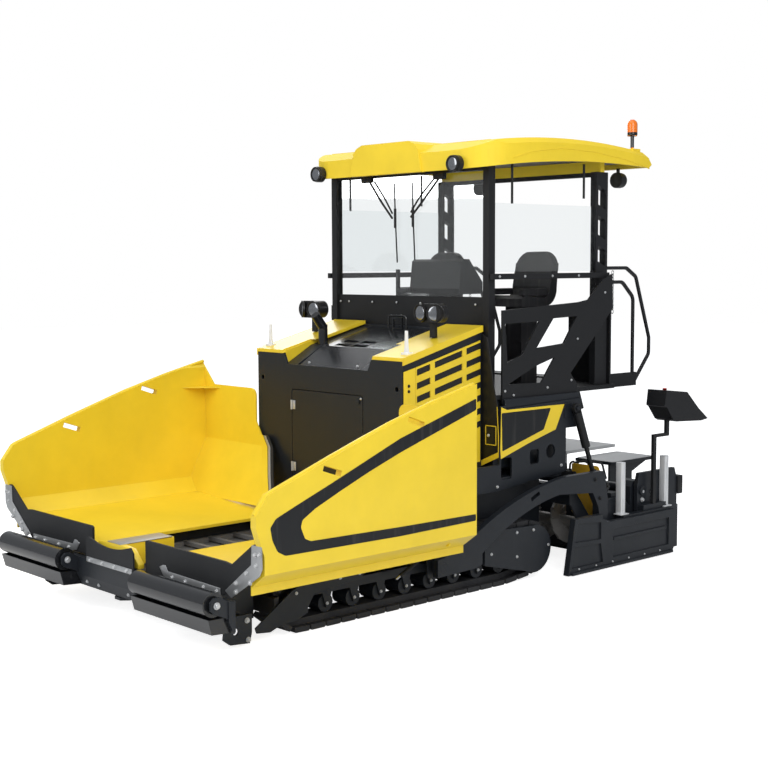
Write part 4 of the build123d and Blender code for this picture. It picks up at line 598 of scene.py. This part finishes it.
# Hood dress: yellow steel sheets run on to the front corner, and white sight markers stand on the cheeks.
# The markers are lacquered flat bar on a square foot, and a dark fairing closes the gap to the platform.
white_lacquer = weathered("white_lacquer", (0.88, 0.88, 0.87), (0.7, 0.7, 0.7), 0.30, wear=0.05, dust=0.02,
                          bump=0.05)
sheet_x, sheet_thick = 0.9856, 0.0094
sheet_shape = [(-0.613, 1.060), (-0.613, 1.900), (-0.481, 1.930), (-0.481, 1.060)]
side_sheet = cut_plate(at_x(sheet_x, sheet_shape), (sheet_thick, 0, 0), edge=0.002)
make_pair(side_sheet, "hood_corner_sheet", yellow, "tractor")
marker_shape = [(0.897, 2.040), (0.906, 2.110), (0.911, 2.238), (0.937, 2.238), (0.943, 2.110),
                (0.955, 2.040)]
marker = cut_plate(at_y(-0.510, marker_shape), (0, -0.016, 0), edge=0.003)
marker_foot = bar((0.886, -0.548, 2.030), (0.966, -0.482, 2.056), 0.004)
make_pair(joined(marker, marker_foot), "sight_marker", white_lacquer, "tractor")
fairing_y = 0.3305
fairing_thick = 0.009
fairing_shape = [(0.9865, 1.02), (1.199, 1.115), (1.180, 1.560), (1.134, 1.739), (1.060, 2.150),
                 (0.9865, 2.185)]
fairing = cut_plate(at_y(fairing_y, fairing_shape), (0, -fairing_thick, 0), edge=0.002)
make_pair(fairing, "hood_fairing", black_coat, "tractor")

# Side plate trim: a yellow field with a dark panel in it, both of thick film laid on the side plate.
# A yellow line edges the fairing's foot and outer side, and four thin bars frame a small hatch in it.
# A dark steel sill stands outside the platform, above the side plate.
plate_x = 1.2004
field_shape = [(0.347, 1.553), (0.420, 1.524), (1.190, 1.520), (1.069, 1.299), (0.700, 1.205),
               (0.345, 1.100), (0.338, 1.180)]
make_pair(cut_plate(at_x(plate_x, field_shape), (film_thick, 0, 0)), "trim_field", yellow, "tractor")
panel_shape = [(0.352, 1.500), (1.000, 1.500), (0.905, 1.313), (0.362, 1.165)]
panel = cut_plate(at_x(plate_x + film_thick, panel_shape), (film_thick, 0, 0), corner=0.012)
make_pair(panel, "trim_panel", stripe_black, "tractor")
line_y = fairing_y - fairing_thick - 0.0003
line_thick = 0.0014
foot_shape = [(0.9875, 1.020), (1.198, 1.115), (1.198, 1.165), (0.9875, 1.070)]
foot_line = cut_plate(at_y(line_y, foot_shape), (0, -film_thick, 0))
edge_shape = [(1.198, 1.115), (1.198, 1.300), (1.180, 1.556), (1.172, 1.556), (1.189, 1.300), (1.189, 1.115)]
edge_line = cut_plate(at_y(line_y, edge_shape), (0, -line_thick, 0))
make_pair(joined(foot_line, edge_line), "fairing_line", yellow, "tractor")
frame_front, frame_back = 0.3165, 0.3215
frame_bars = []
for low_x, low_z, high_x, high_z in (
    (1.040, 1.215, 1.168, 1.222),
    (1.040, 1.380, 1.168, 1.387),
    (1.040, 1.215, 1.046, 1.387),
    (1.162, 1.215, 1.168, 1.387),
):
    frame_bars.append(bar((low_x, frame_front, low_z), (high_x, frame_back, high_z), 0.001))
make_pair(joined(*frame_bars), "window_frame", yellow, "tractor")
bolt_pair("window_pull", bolt_zinc, "tractor", [((1.075, line_y, 1.298), front)], 0.011)
sill = bar((1.1505, 0.420, 1.525), (1.1795, 1.428, 1.612), 0.003)
make_pair(sill, "platform_sill", anthracite, "tractor")

# Wing edges: the sheet is rolled over at the ridge, and a leaf at the back wall reaches in to the tunnel.
# A rubber seal under a zinc strip lies on each leaf, and follows the slope of the wall.
ridge = [(-0.655, 1.857), (-1.10, 1.748), (-1.556, 1.619), (-2.113, 1.432), (-2.700, 1.222), (-2.806, 1.090)]
bead = bent_rod([(side_x - 0.030, y, z - 0.002) for y, z in ridge], 0.016, 0.02, 3)
make_pair(bead, "ridge_bead", yellow, "wing_left")
wall_edge = [(0.905, -0.6600, 1.210), (0.840, -0.6605, 1.110), (0.683, -0.7820, 0.870),
             (0.520, -0.8930, 0.620)]


def slope_strip(shift, wide, lift, thick):
    strip = draw_line([(x + shift, y - lift, z) for x, y, z in wall_edge])
    bpy.ops.mesh.select_all(action="SELECT")
    bpy.ops.mesh.extrude_edges_move(TRANSFORM_OT_translate={"value": (-wide, 0, 0)})
    bpy.ops.mesh.select_all(action="SELECT")
    bpy.ops.mesh.extrude_region_move(TRANSFORM_OT_translate={"value": (0, -thick, 0)})
    bpy.ops.mesh.select_all(action="SELECT")
    bpy.ops.mesh.normals_make_consistent(inside=False)
    bpy.ops.object.mode_set(mode="OBJECT")
    return strip


make_pair(slope_strip(0.050, 0.150, 0.0, 0.004), "back_leaf", yellow, "wing_left")
make_pair(slope_strip(-0.045, 0.080, 0.0045, 0.006), "back_seal", rubber, "wing_left")
make_pair(slope_strip(-0.058, 0.030, 0.0105, 0.004), "back_seal_strip", zinc, "wing_left")

# Conveyor divider: a yellow steel box parts the two runs of the conveyor, behind a low wall at the front.
# A zinc plate covers its top, and the wall's corners leave room for the folding wings.
wall_shape = [(-0.345, 0.470), (0.345, 0.470), (0.345, 0.505), (0.232, 0.610), (0.100, 0.624),
              (-0.100, 0.624), (-0.232, 0.610), (-0.345, 0.505)]
gate_wall = cut_plate(at_y(-2.742, wall_shape), (0, -0.056, 0), edge=0.006)
divider = bar((-0.095, -2.745, 0.4435), (0.095, -2.300, 0.624), 0.008)
finish_piece(joined(gate_wall, divider), "conveyor_divider", yellow, "tractor")
finish_piece(bar((-0.100, -2.800, 0.6235), (0.100, -2.320, 0.6295), 0.002), "divider_cover", zinc, "tractor")


# Lamps: each has a black moulded rim round a bright, slightly domed face.
# Two pairs stand on the hood, the outer ones turned outwards, and four single lamps hang from the canopy.
def round_lamps(radius, spots):
    clear_picks()
    bpy.ops.mesh.primitive_cylinder_add(vertices=32, radius=radius, depth=0.022, location=(0, 0, 0.011))
    rim = bpy.context.object
    bpy.ops.object.mode_set(mode="EDIT")
    bpy.ops.mesh.select_all(action="DESELECT")
    bpy.ops.object.mode_set(mode="OBJECT")
    for face in rim.data.polygons:
        face.select = face.normal.z > 0.9
    bpy.ops.object.mode_set(mode="EDIT")
    bpy.ops.mesh.select_mode(type="FACE")
    bpy.ops.mesh.inset(thickness=radius * 0.13)
    bpy.ops.mesh.extrude_region_move(TRANSFORM_OT_translate={"value": (0, 0, -0.006)})
    bpy.ops.mesh.inset(thickness=radius * 0.05)
    bpy.ops.mesh.select_mode(type="VERT")
    bpy.ops.object.mode_set(mode="OBJECT")
    clear_picks()
    bpy.ops.mesh.primitive_uv_sphere_add(segments=32, ring_count=16, radius=radius * 0.84,
                                         location=(0, 0, 0.012))
    dish = bpy.context.object
    bpy.ops.transform.resize(value=(1, 1, 0.16))
    bpy.ops.object.mode_set(mode="EDIT")
    bpy.ops.mesh.select_all(action="SELECT")
    bpy.ops.mesh.bisect(plane_co=(0, 0, 0.012), plane_no=(0, 0, 1), clear_inner=True)
    bpy.ops.object.mode_set(mode="OBJECT")
    return set_out(rim, spots), set_out(dish, spots)


reflector = weathered("lamp_reflector", (0.30, 0.31, 0.33), (0.6, 0.6, 0.6), 0.12, wear=0.0, dust=0.02,
                      bump=0.02, metal=0.9)
lamp_low, lamp_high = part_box("work_lamps")
lamp_z = lamp_high.z - 0.080
lamp_x = lamp_high.x - 0.155
work_spots = []
for side in (-1, 1):
    for out, back, turned in ((-0.076, -0.0005, -0.12), (0.090, 0.012, 0.62)):
        work_spots.append(((side * (lamp_x + out), lamp_low.y + back, lamp_z), (side * turned, -1, 0)))
rims, faces = round_lamps(0.080, work_spots)
finish_piece(rims, "work_lamp_rims", lamp_black, "tractor")
finish_piece(faces, "work_lamp_lenses", reflector, "tractor")
roof_low, roof_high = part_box("roof_lamps")
roof_lamp_x = 0.913
roof_spots = []
for side in (-1, 1):
    roof_spots.append(((side * roof_lamp_x, roof_low.y - 0.0005, 3.645), (0, -1, 0)))
    roof_spots.append(((side * roof_lamp_x, roof_high.y + 0.0005, 3.585), (0, 1, 0)))
rims, faces = round_lamps(0.070, roof_spots)
finish_piece(rims, "roof_lamp_rims", lamp_black, "tractor")
finish_piece(faces, "roof_lamp_reflectors", reflector, "tractor")

# Canopy: a grey lining closes it below, and a moulded bead stiffens each side.
# The beacon has a glossy black foot on a short stalk, and an amber dome.
lining_grey = weathered("roof_lining", (0.16, 0.155, 0.145), (0.2, 0.2, 0.2), 0.75, wear=0.0, dust=0.05,
                        bump=0.3)
lining_shape = [(-1.158, 0.520), (1.158, 0.520), (1.158, 2.350), (-1.158, 2.350)]
finish_piece(cut_plate(at_z(3.742, lining_shape), (0, 0, 0.008)), "roof_lining", lining_grey, "tractor")
bead_line = [(0.500, 3.700), (0.760, 3.772), (1.150, 3.815), (1.600, 3.805), (2.050, 3.760), (2.420, 3.690)]
make_pair(bent_rod(at_x(1.1885, bead_line), 0.006), "canopy_bead", canopy_yellow, "tractor")
beacon_low, beacon_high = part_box("beacon")
beacon_x, beacon_y = (beacon_low.x + beacon_high.x) / 2, (beacon_low.y + beacon_high.y) / 2
clear_picks()
bpy.ops.mesh.primitive_cylinder_add(vertices=24, radius=0.018, depth=0.115,
                                    location=(beacon_x, beacon_y, 3.940))
stalk = bpy.context.object
bpy.ops.mesh.primitive_cylinder_add(vertices=32, radius=0.049, depth=0.030,
                                    location=(beacon_x, beacon_y, 4.012))
cup = bpy.context.object
bpy.ops.object.mode_set(mode="EDIT")
bpy.ops.mesh.select_all(action="SELECT")
bpy.ops.mesh.bevel(offset=0.006, segments=2, affect="EDGES")
bpy.ops.object.mode_set(mode="OBJECT")
finish_piece(joined(stalk, cup), "beacon_foot", roller_black, "tractor")
clear_picks()
dome_z = 4.098
bpy.ops.mesh.primitive_uv_sphere_add(segments=32, ring_count=16, radius=0.049,
                                     location=(beacon_x, beacon_y, dome_z))
dome = bpy.context.object
bpy.ops.object.mode_set(mode="EDIT")
bpy.ops.mesh.select_all(action="SELECT")
bpy.ops.mesh.bisect(plane_co=(beacon_x, beacon_y, dome_z), plane_no=(0, 0, 1), clear_inner=True)
bpy.ops.mesh.extrude_region_move(TRANSFORM_OT_translate={"value": (0, 0, -0.072)})
bpy.ops.object.mode_set(mode="OBJECT")
amber_shell = weathered("amber_shell", (0.90, 0.20, 0.01), (0.9, 0.3, 0.1), 0.15, wear=0.0, dust=0.02,
                        bump=0.02, coat=0.4)
finish_piece(dome, "beacon_dome", amber_shell, "tractor")

# Platform fixings: pale bolts hold the guards, the rail clips and the sill under the windscreen.
# A light zinc chain hangs from the rail at the rear of each side.
left = (1, 0, 0)
guard_x, clip_x = 1.1505, 1.1105
guard_bolts = [(1.427, 2.102), (1.013, 1.679), (0.450, 1.682), (1.820, 2.519), (1.343, 1.727), (0.560, 1.640)]
clip_bolts = [(y, 2.680) for y in (1.485, 1.117, 0.748, 0.420)]
side_bolts = at_x(guard_x, guard_bolts) + at_x(clip_x, clip_bolts)
bolt_pair("platform_bolts", bolt_zinc, "tractor", facing_all(left, side_bolts), 0.0085)
sill_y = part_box("platform_deck")[0].y
sill_bolts = [(x, 2.435) for x in (-0.933, -0.810, -0.472, -0.134, 0.186, 0.882)]
bolt_heads("sill_bolts", bolt_zinc, "tractor", facing_all(front, at_y(sill_y - 0.0003, sill_bolts)), 0.0075)
chain_top, link_count, link_pitch = 2.700, 13, 0.031
links = []
for index in range(link_count):
    clear_picks()
    bpy.ops.mesh.primitive_torus_add(major_radius=0.013, minor_radius=0.0032, major_segments=12,
                                     minor_segments=6,
                                     location=(0.950, 2.186, chain_top - index * link_pitch),
                                     rotation=(0, pi / 2, 0) if index % 2 else (pi / 2, 0, 0))
    bpy.ops.transform.resize(value=(1, 1, 1.5))
    links.append(bpy.context.object)
make_pair(joined(*links), "rail_chain", zinc, "tractor")

# Running gear fixings: pale bolts sit in the ground rollers, the guard, the drive cover and the side plate.
# The levelling cylinder's chromed rod shows at its low end, with two rubber hoses along the barrel.
roller_first, roller_pitch = -1.630, 0.28286
hub_bolts = [(roller_first + index * roller_pitch, 0.165) for index in range(8)]
frame_bolts = [(-1.997, 0.318), (-1.560, 0.366), (-1.360, 0.372)]
cover_bolts = [(0.443, 0.455), (0.444, 0.241), (0.860, 0.290), (0.120, 0.309), (0.660, 0.450)]
hub_x, frame_x, cover_x = 1.1955, 1.2725, 1.3025
gear_bolts = at_x(hub_x, hub_bolts) + at_x(frame_x, frame_bolts) + at_x(cover_x, cover_bolts)
bolt_pair("running_gear_bolts", bolt_zinc, "tractor", facing_all(left, gear_bolts), 0.010)
plate_bolts = [(-0.060, 0.960), (1.150, 0.965), (-0.420, 0.860), (0.300, 0.860)]
bolt_pair("side_plate_bolts", bolt_zinc, "tractor", facing_all(left, at_x(plate_x + 0.0001, plate_bolts)),
          0.011)
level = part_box("levelling_left")
level_x = (level[0].x + level[1].x) / 2
rod_end = bent_rod([(level_x, -0.915, 0.297), (level_x, -0.985, 0.265)], 0.011, 0, 3)
make_pair(rod_end, "levelling_rod", chrome, "tractor")
low_hose = at_x(level_x - 0.012, [(-0.42, 0.565), (-0.60, 0.500), (-0.86, 0.372)])
high_hose = at_x(level_x + 0.010, [(-0.40, 0.590), (-0.62, 0.512), (-0.78, 0.418)])
hoses = [bent_rod(route, 0.008, 0.04, 3) for route in (low_hose, high_hose)]
make_pair(joined(*hoses), "levelling_hoses", rubber, "tractor")

# Screed ends: aluminium guides on flat feet carry the end plates, and each walkway has a grey tread.
# Yellow plates shield the screed's face, and a black valve box sits inside each end plate.
# Each control box has a red stop button.
aluminium = weathered("guide_aluminium", (0.80, 0.81, 0.82), (0.8, 0.8, 0.8), 0.30, wear=0.0, dust=0.02,
                      bump=0.0, metal=0.3, streaks=0.0, dust_colour=(0.5, 0.5, 0.5, 1), edge=0.0005)
post_parts = []
for y in (1.810, 2.480):
    post_parts.append(bar((1.3330, y - 0.032, 0.451), (1.3970, y + 0.032, 0.943), 0.005))
    post_parts.append(bar((1.3965, y - 0.010, 0.470), (1.4030, y + 0.010, 0.930), 0.002))
    post_parts.append(bar((1.3300, y - 0.060, 0.4505), (1.4200, y + 0.060, 0.462), 0.003))
make_pair(joined(*post_parts), "end_plate_guides", aluminium, "extension_left")
tread_shape = [(0.386, 2.344), (0.844, 2.344), (0.844, 3.012), (0.386, 3.012)]
tread = cut_plate(at_z(0.8303, tread_shape), (0, 0, 0.005), corner=0.04, edge=0.001)
make_pair(tread, "walkway_tread", tread_grey, "extension_left")
heater_yellow = weathered("heater_yellow", (0.62, 0.36, 0.02), (0.4, 0.35, 0.3), 0.5, wear=0.3, dust=0.15,
                          streaks=0.2, bump=0.1)
heater_shape = [(0.800, 0.400), (1.190, 0.400), (1.190, 0.700), (1.120, 0.880), (0.800, 0.880)]
heater = cut_plate(at_y(1.7895, heater_shape), (0, -0.012, 0), corner=0.02, edge=0.002)
make_pair(heater, "heater_plate", heater_yellow, "screed")
valve_box = bar((1.262, 2.735, 0.533), (1.349, 2.815, 0.714), 0.008)
make_pair(valve_box, "screed_valve_box", black_coat, "extension_left")
post_x = 1.3305
post_bolts = [(2.181, 0.621), (2.338, 0.602), (2.182, 0.541), (2.340, 0.541)]
bolt_pair("post_bolts", bolt_zinc, "extension_left", facing_all(left, at_x(post_x, post_bolts)), 0.018)
clear_picks()
bpy.ops.mesh.primitive_cylinder_add(vertices=24, radius=0.020, depth=0.022, location=(1.390, 2.439, 1.586))
button = bpy.context.object
bpy.ops.object.mode_set(mode="EDIT")
bpy.ops.mesh.select_all(action="SELECT")
bpy.ops.mesh.bevel(offset=0.005, segments=2, affect="EDGES")
bpy.ops.object.mode_set(mode="OBJECT")
stop_red = weathered("stop_red", (0.75, 0.03, 0.015), (0.6, 0.1, 0.1), 0.3, wear=0.0, dust=0.03, bump=0.02)
make_pair(button, "stop_button", stop_red, "extension_left")

# Hood fittings: the exhaust ends in a bent tube, and the door swings on two zinc hinges.
# A black rim lies behind the door's gap, and a near-black sheet just inside the louvres is painted shade for
# the dark hood interior seen through the slats.
# The lid has a bent rod to lift it by and two bolts at its front.
pipe_low, pipe_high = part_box("exhaust_stub")
pipe_x = (pipe_low.x + pipe_high.x) / 2
tail = bent_rod(at_x(pipe_x, [(-0.244, 2.060), (-0.244, 2.212), (-0.3385, 2.3310)]), 0.0436, 0.02, 7)
finish_piece(tail, "exhaust_tail", roller_black, "tractor")
rim_front, rim_back = -0.5997, -0.5940
rim_bars = []
for low_x, low_z, high_x, high_z in (
    (-0.530, 1.655, 0.530, 1.700),
    (-0.530, 0.770, 0.530, 0.815),
    (-0.530, 0.770, -0.476, 1.700),
    (0.476, 0.770, 0.530, 1.700),
):
    rim_bars.append(bar((low_x, rim_front, low_z), (high_x, rim_back, high_z), 0.001))
finish_piece(joined(*rim_bars), "door_rim", rubber, "tractor")
pin_x, pin_y = -0.482, -0.629
hinges = []
for z in (0.961, 1.524):
    hinges.append(bar((-0.470, -0.6275, z - 0.040), (-0.436, -0.6218, z + 0.040), 0.001))
    hinges.append(bent_rod([(pin_x, pin_y, z - 0.043), (pin_x, pin_y, z + 0.043)], 0.0108, 0, 3))
finish_piece(joined(*hinges), "door_hinges", bolt_zinc, "door")
door_y = -0.6222
lock_bolts = [(0.462, 1.640), (0.446, 0.835)]
bolt_heads("door_lock_bolts", bolt_zinc, "door", facing_all(front, at_y(door_y, lock_bolts)), 0.008)
# Painted shade: this near-black sheet behind the louvre slats stands in for the shaded interior of the hood.
shade_sheet_x, shade_sheet_thick = 0.9852, 0.0006
shade_sheet_shape = [(-0.474, 1.066), (-0.474, 1.924), (0.296, 2.118), (0.296, 1.066)]
make_pair(cut_plate(at_x(shade_sheet_x, shade_sheet_shape), (shade_sheet_thick, 0, 0)), "louvre_shade_sheet", rubber, "tractor")
corner_bolts = [(sheet_x + sheet_thick + 0.0002, -0.560, z) for z in (1.780, 1.735)]
bolt_pair("hood_corner_bolts", rubber, "tractor", facing_all(left, corner_bolts), 0.010)
grab_route = [(-0.120, 2.196), (-0.120, 2.318), (0.120, 2.318), (0.120, 2.196)]
finish_piece(bent_rod(at_y(0.240, grab_route), 0.009, 0.03, 4), "lid_grab", roller_black, "lid")
lid_facing = (0, -0.488, 0.873)
lid_foot, bolt_inset, lid_slope = 1.885, 0.040, 0.559
lid_bolts = [(x, -0.540, lid_foot + bolt_inset * lid_slope) for x in (-0.330, 0.330)]
bolt_heads("lid_bolts", bolt_zinc, "lid", facing_all(lid_facing, lid_bolts), 0.010)

# Roller trays: a bent black plate with closed ends hangs under each push roller.
# The guard between them has one row of bolts along its sloping foot.
tray_shape = [(-2.986, 0.334), (-2.956, 0.222), (-2.790, 0.212), (-2.790, 0.219), (-2.950, 0.230),
              (-2.979, 0.334)]
cheek_shape = [(-2.985, 0.332), (-2.955, 0.223), (-2.792, 0.213), (-2.829, 0.330)]
tray_x, tray_wide, cheek_thick = 0.528, 1.000, 0.006
trays = []
for side in (-1, 1):
    trays.append(cut_plate(at_x(side * tray_x, tray_shape), (side * tray_wide, 0, 0)))
    for x in (0.525, 1.524):
        trays.append(cut_plate(at_x(side * x, cheek_shape), (side * cheek_thick, 0, 0)))
finish_piece(joined(*trays), "roller_trays", roller_black, "tractor")
guard_facing = (0, -0.915, -0.404)
guard_places = [(x, -2.8115, 0.2545) for x in (-0.40, -0.22, 0.22, 0.40)]
bolt_heads("guard_bolts", bolt_zinc, "tractor", facing_all(guard_facing, guard_places), 0.011)

# Screed side fittings: zinc-plated bolts along the foot of the end plate, and dark ones in the tow arm.
# Two short rubber hoses arch from the arm's end over to the screed.
skid_x = 1.4605
skid_bolts = [(y, 0.053) for y in (1.10, 1.34, 1.58, 1.82, 2.06, 2.30)]
bolt_pair("skid_bolts", bolt_zinc, "extension_left", facing_all(left, at_x(skid_x, skid_bolts)), 0.007)
arm_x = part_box("tow_arm_left")[1].x
arm_bolts = [(1.500, 0.640), (1.430, 0.820)]
bolt_pair("tow_arm_bolts", black_coat, "screed", facing_all(left, at_x(arm_x + 0.0005, arm_bolts)), 0.014)
outer_route = [(1.352, 1.600, 0.700), (1.352, 1.660, 0.720), (1.290, 1.700, 0.735), (1.285, 1.720, 0.705)]
inner_route = [(1.330, 1.604, 0.640), (1.330, 1.668, 0.700), (1.275, 1.735, 0.750), (1.270, 1.760, 0.705)]
arm_hoses = [bent_rod(route, 0.009, 0.03, 3) for route in (outer_route, inner_route)]
make_pair(joined(*arm_hoses), "screed_hoses", rubber, "screed")

# Screed plumbing: a valve block with four rubber hoses lies on each half of the screed.
# The hoses rise from the block and arch back over the screed.
lines = []
for side in (-1, 1):
    near_x, far_x = sorted((side * 0.66, side * 0.86))
    lines.append(bar((near_x, 1.760, 0.7195), (far_x, 1.900, 0.800), 0.006))
    for index in range(4):
        start, end = side * (0.69 + index * 0.045), side * (0.50 + index * 0.17)
        arch_z = 0.850 + index * 0.015
        lines.append(bent_rod([(start, 1.83, 0.795), (start, 1.83, arch_z), (end, 1.970, arch_z),
                               (end, 2.040, 0.722)], 0.011, 0.04, 3))
finish_piece(joined(*lines), "screed_plumbing", rubber, "screed")
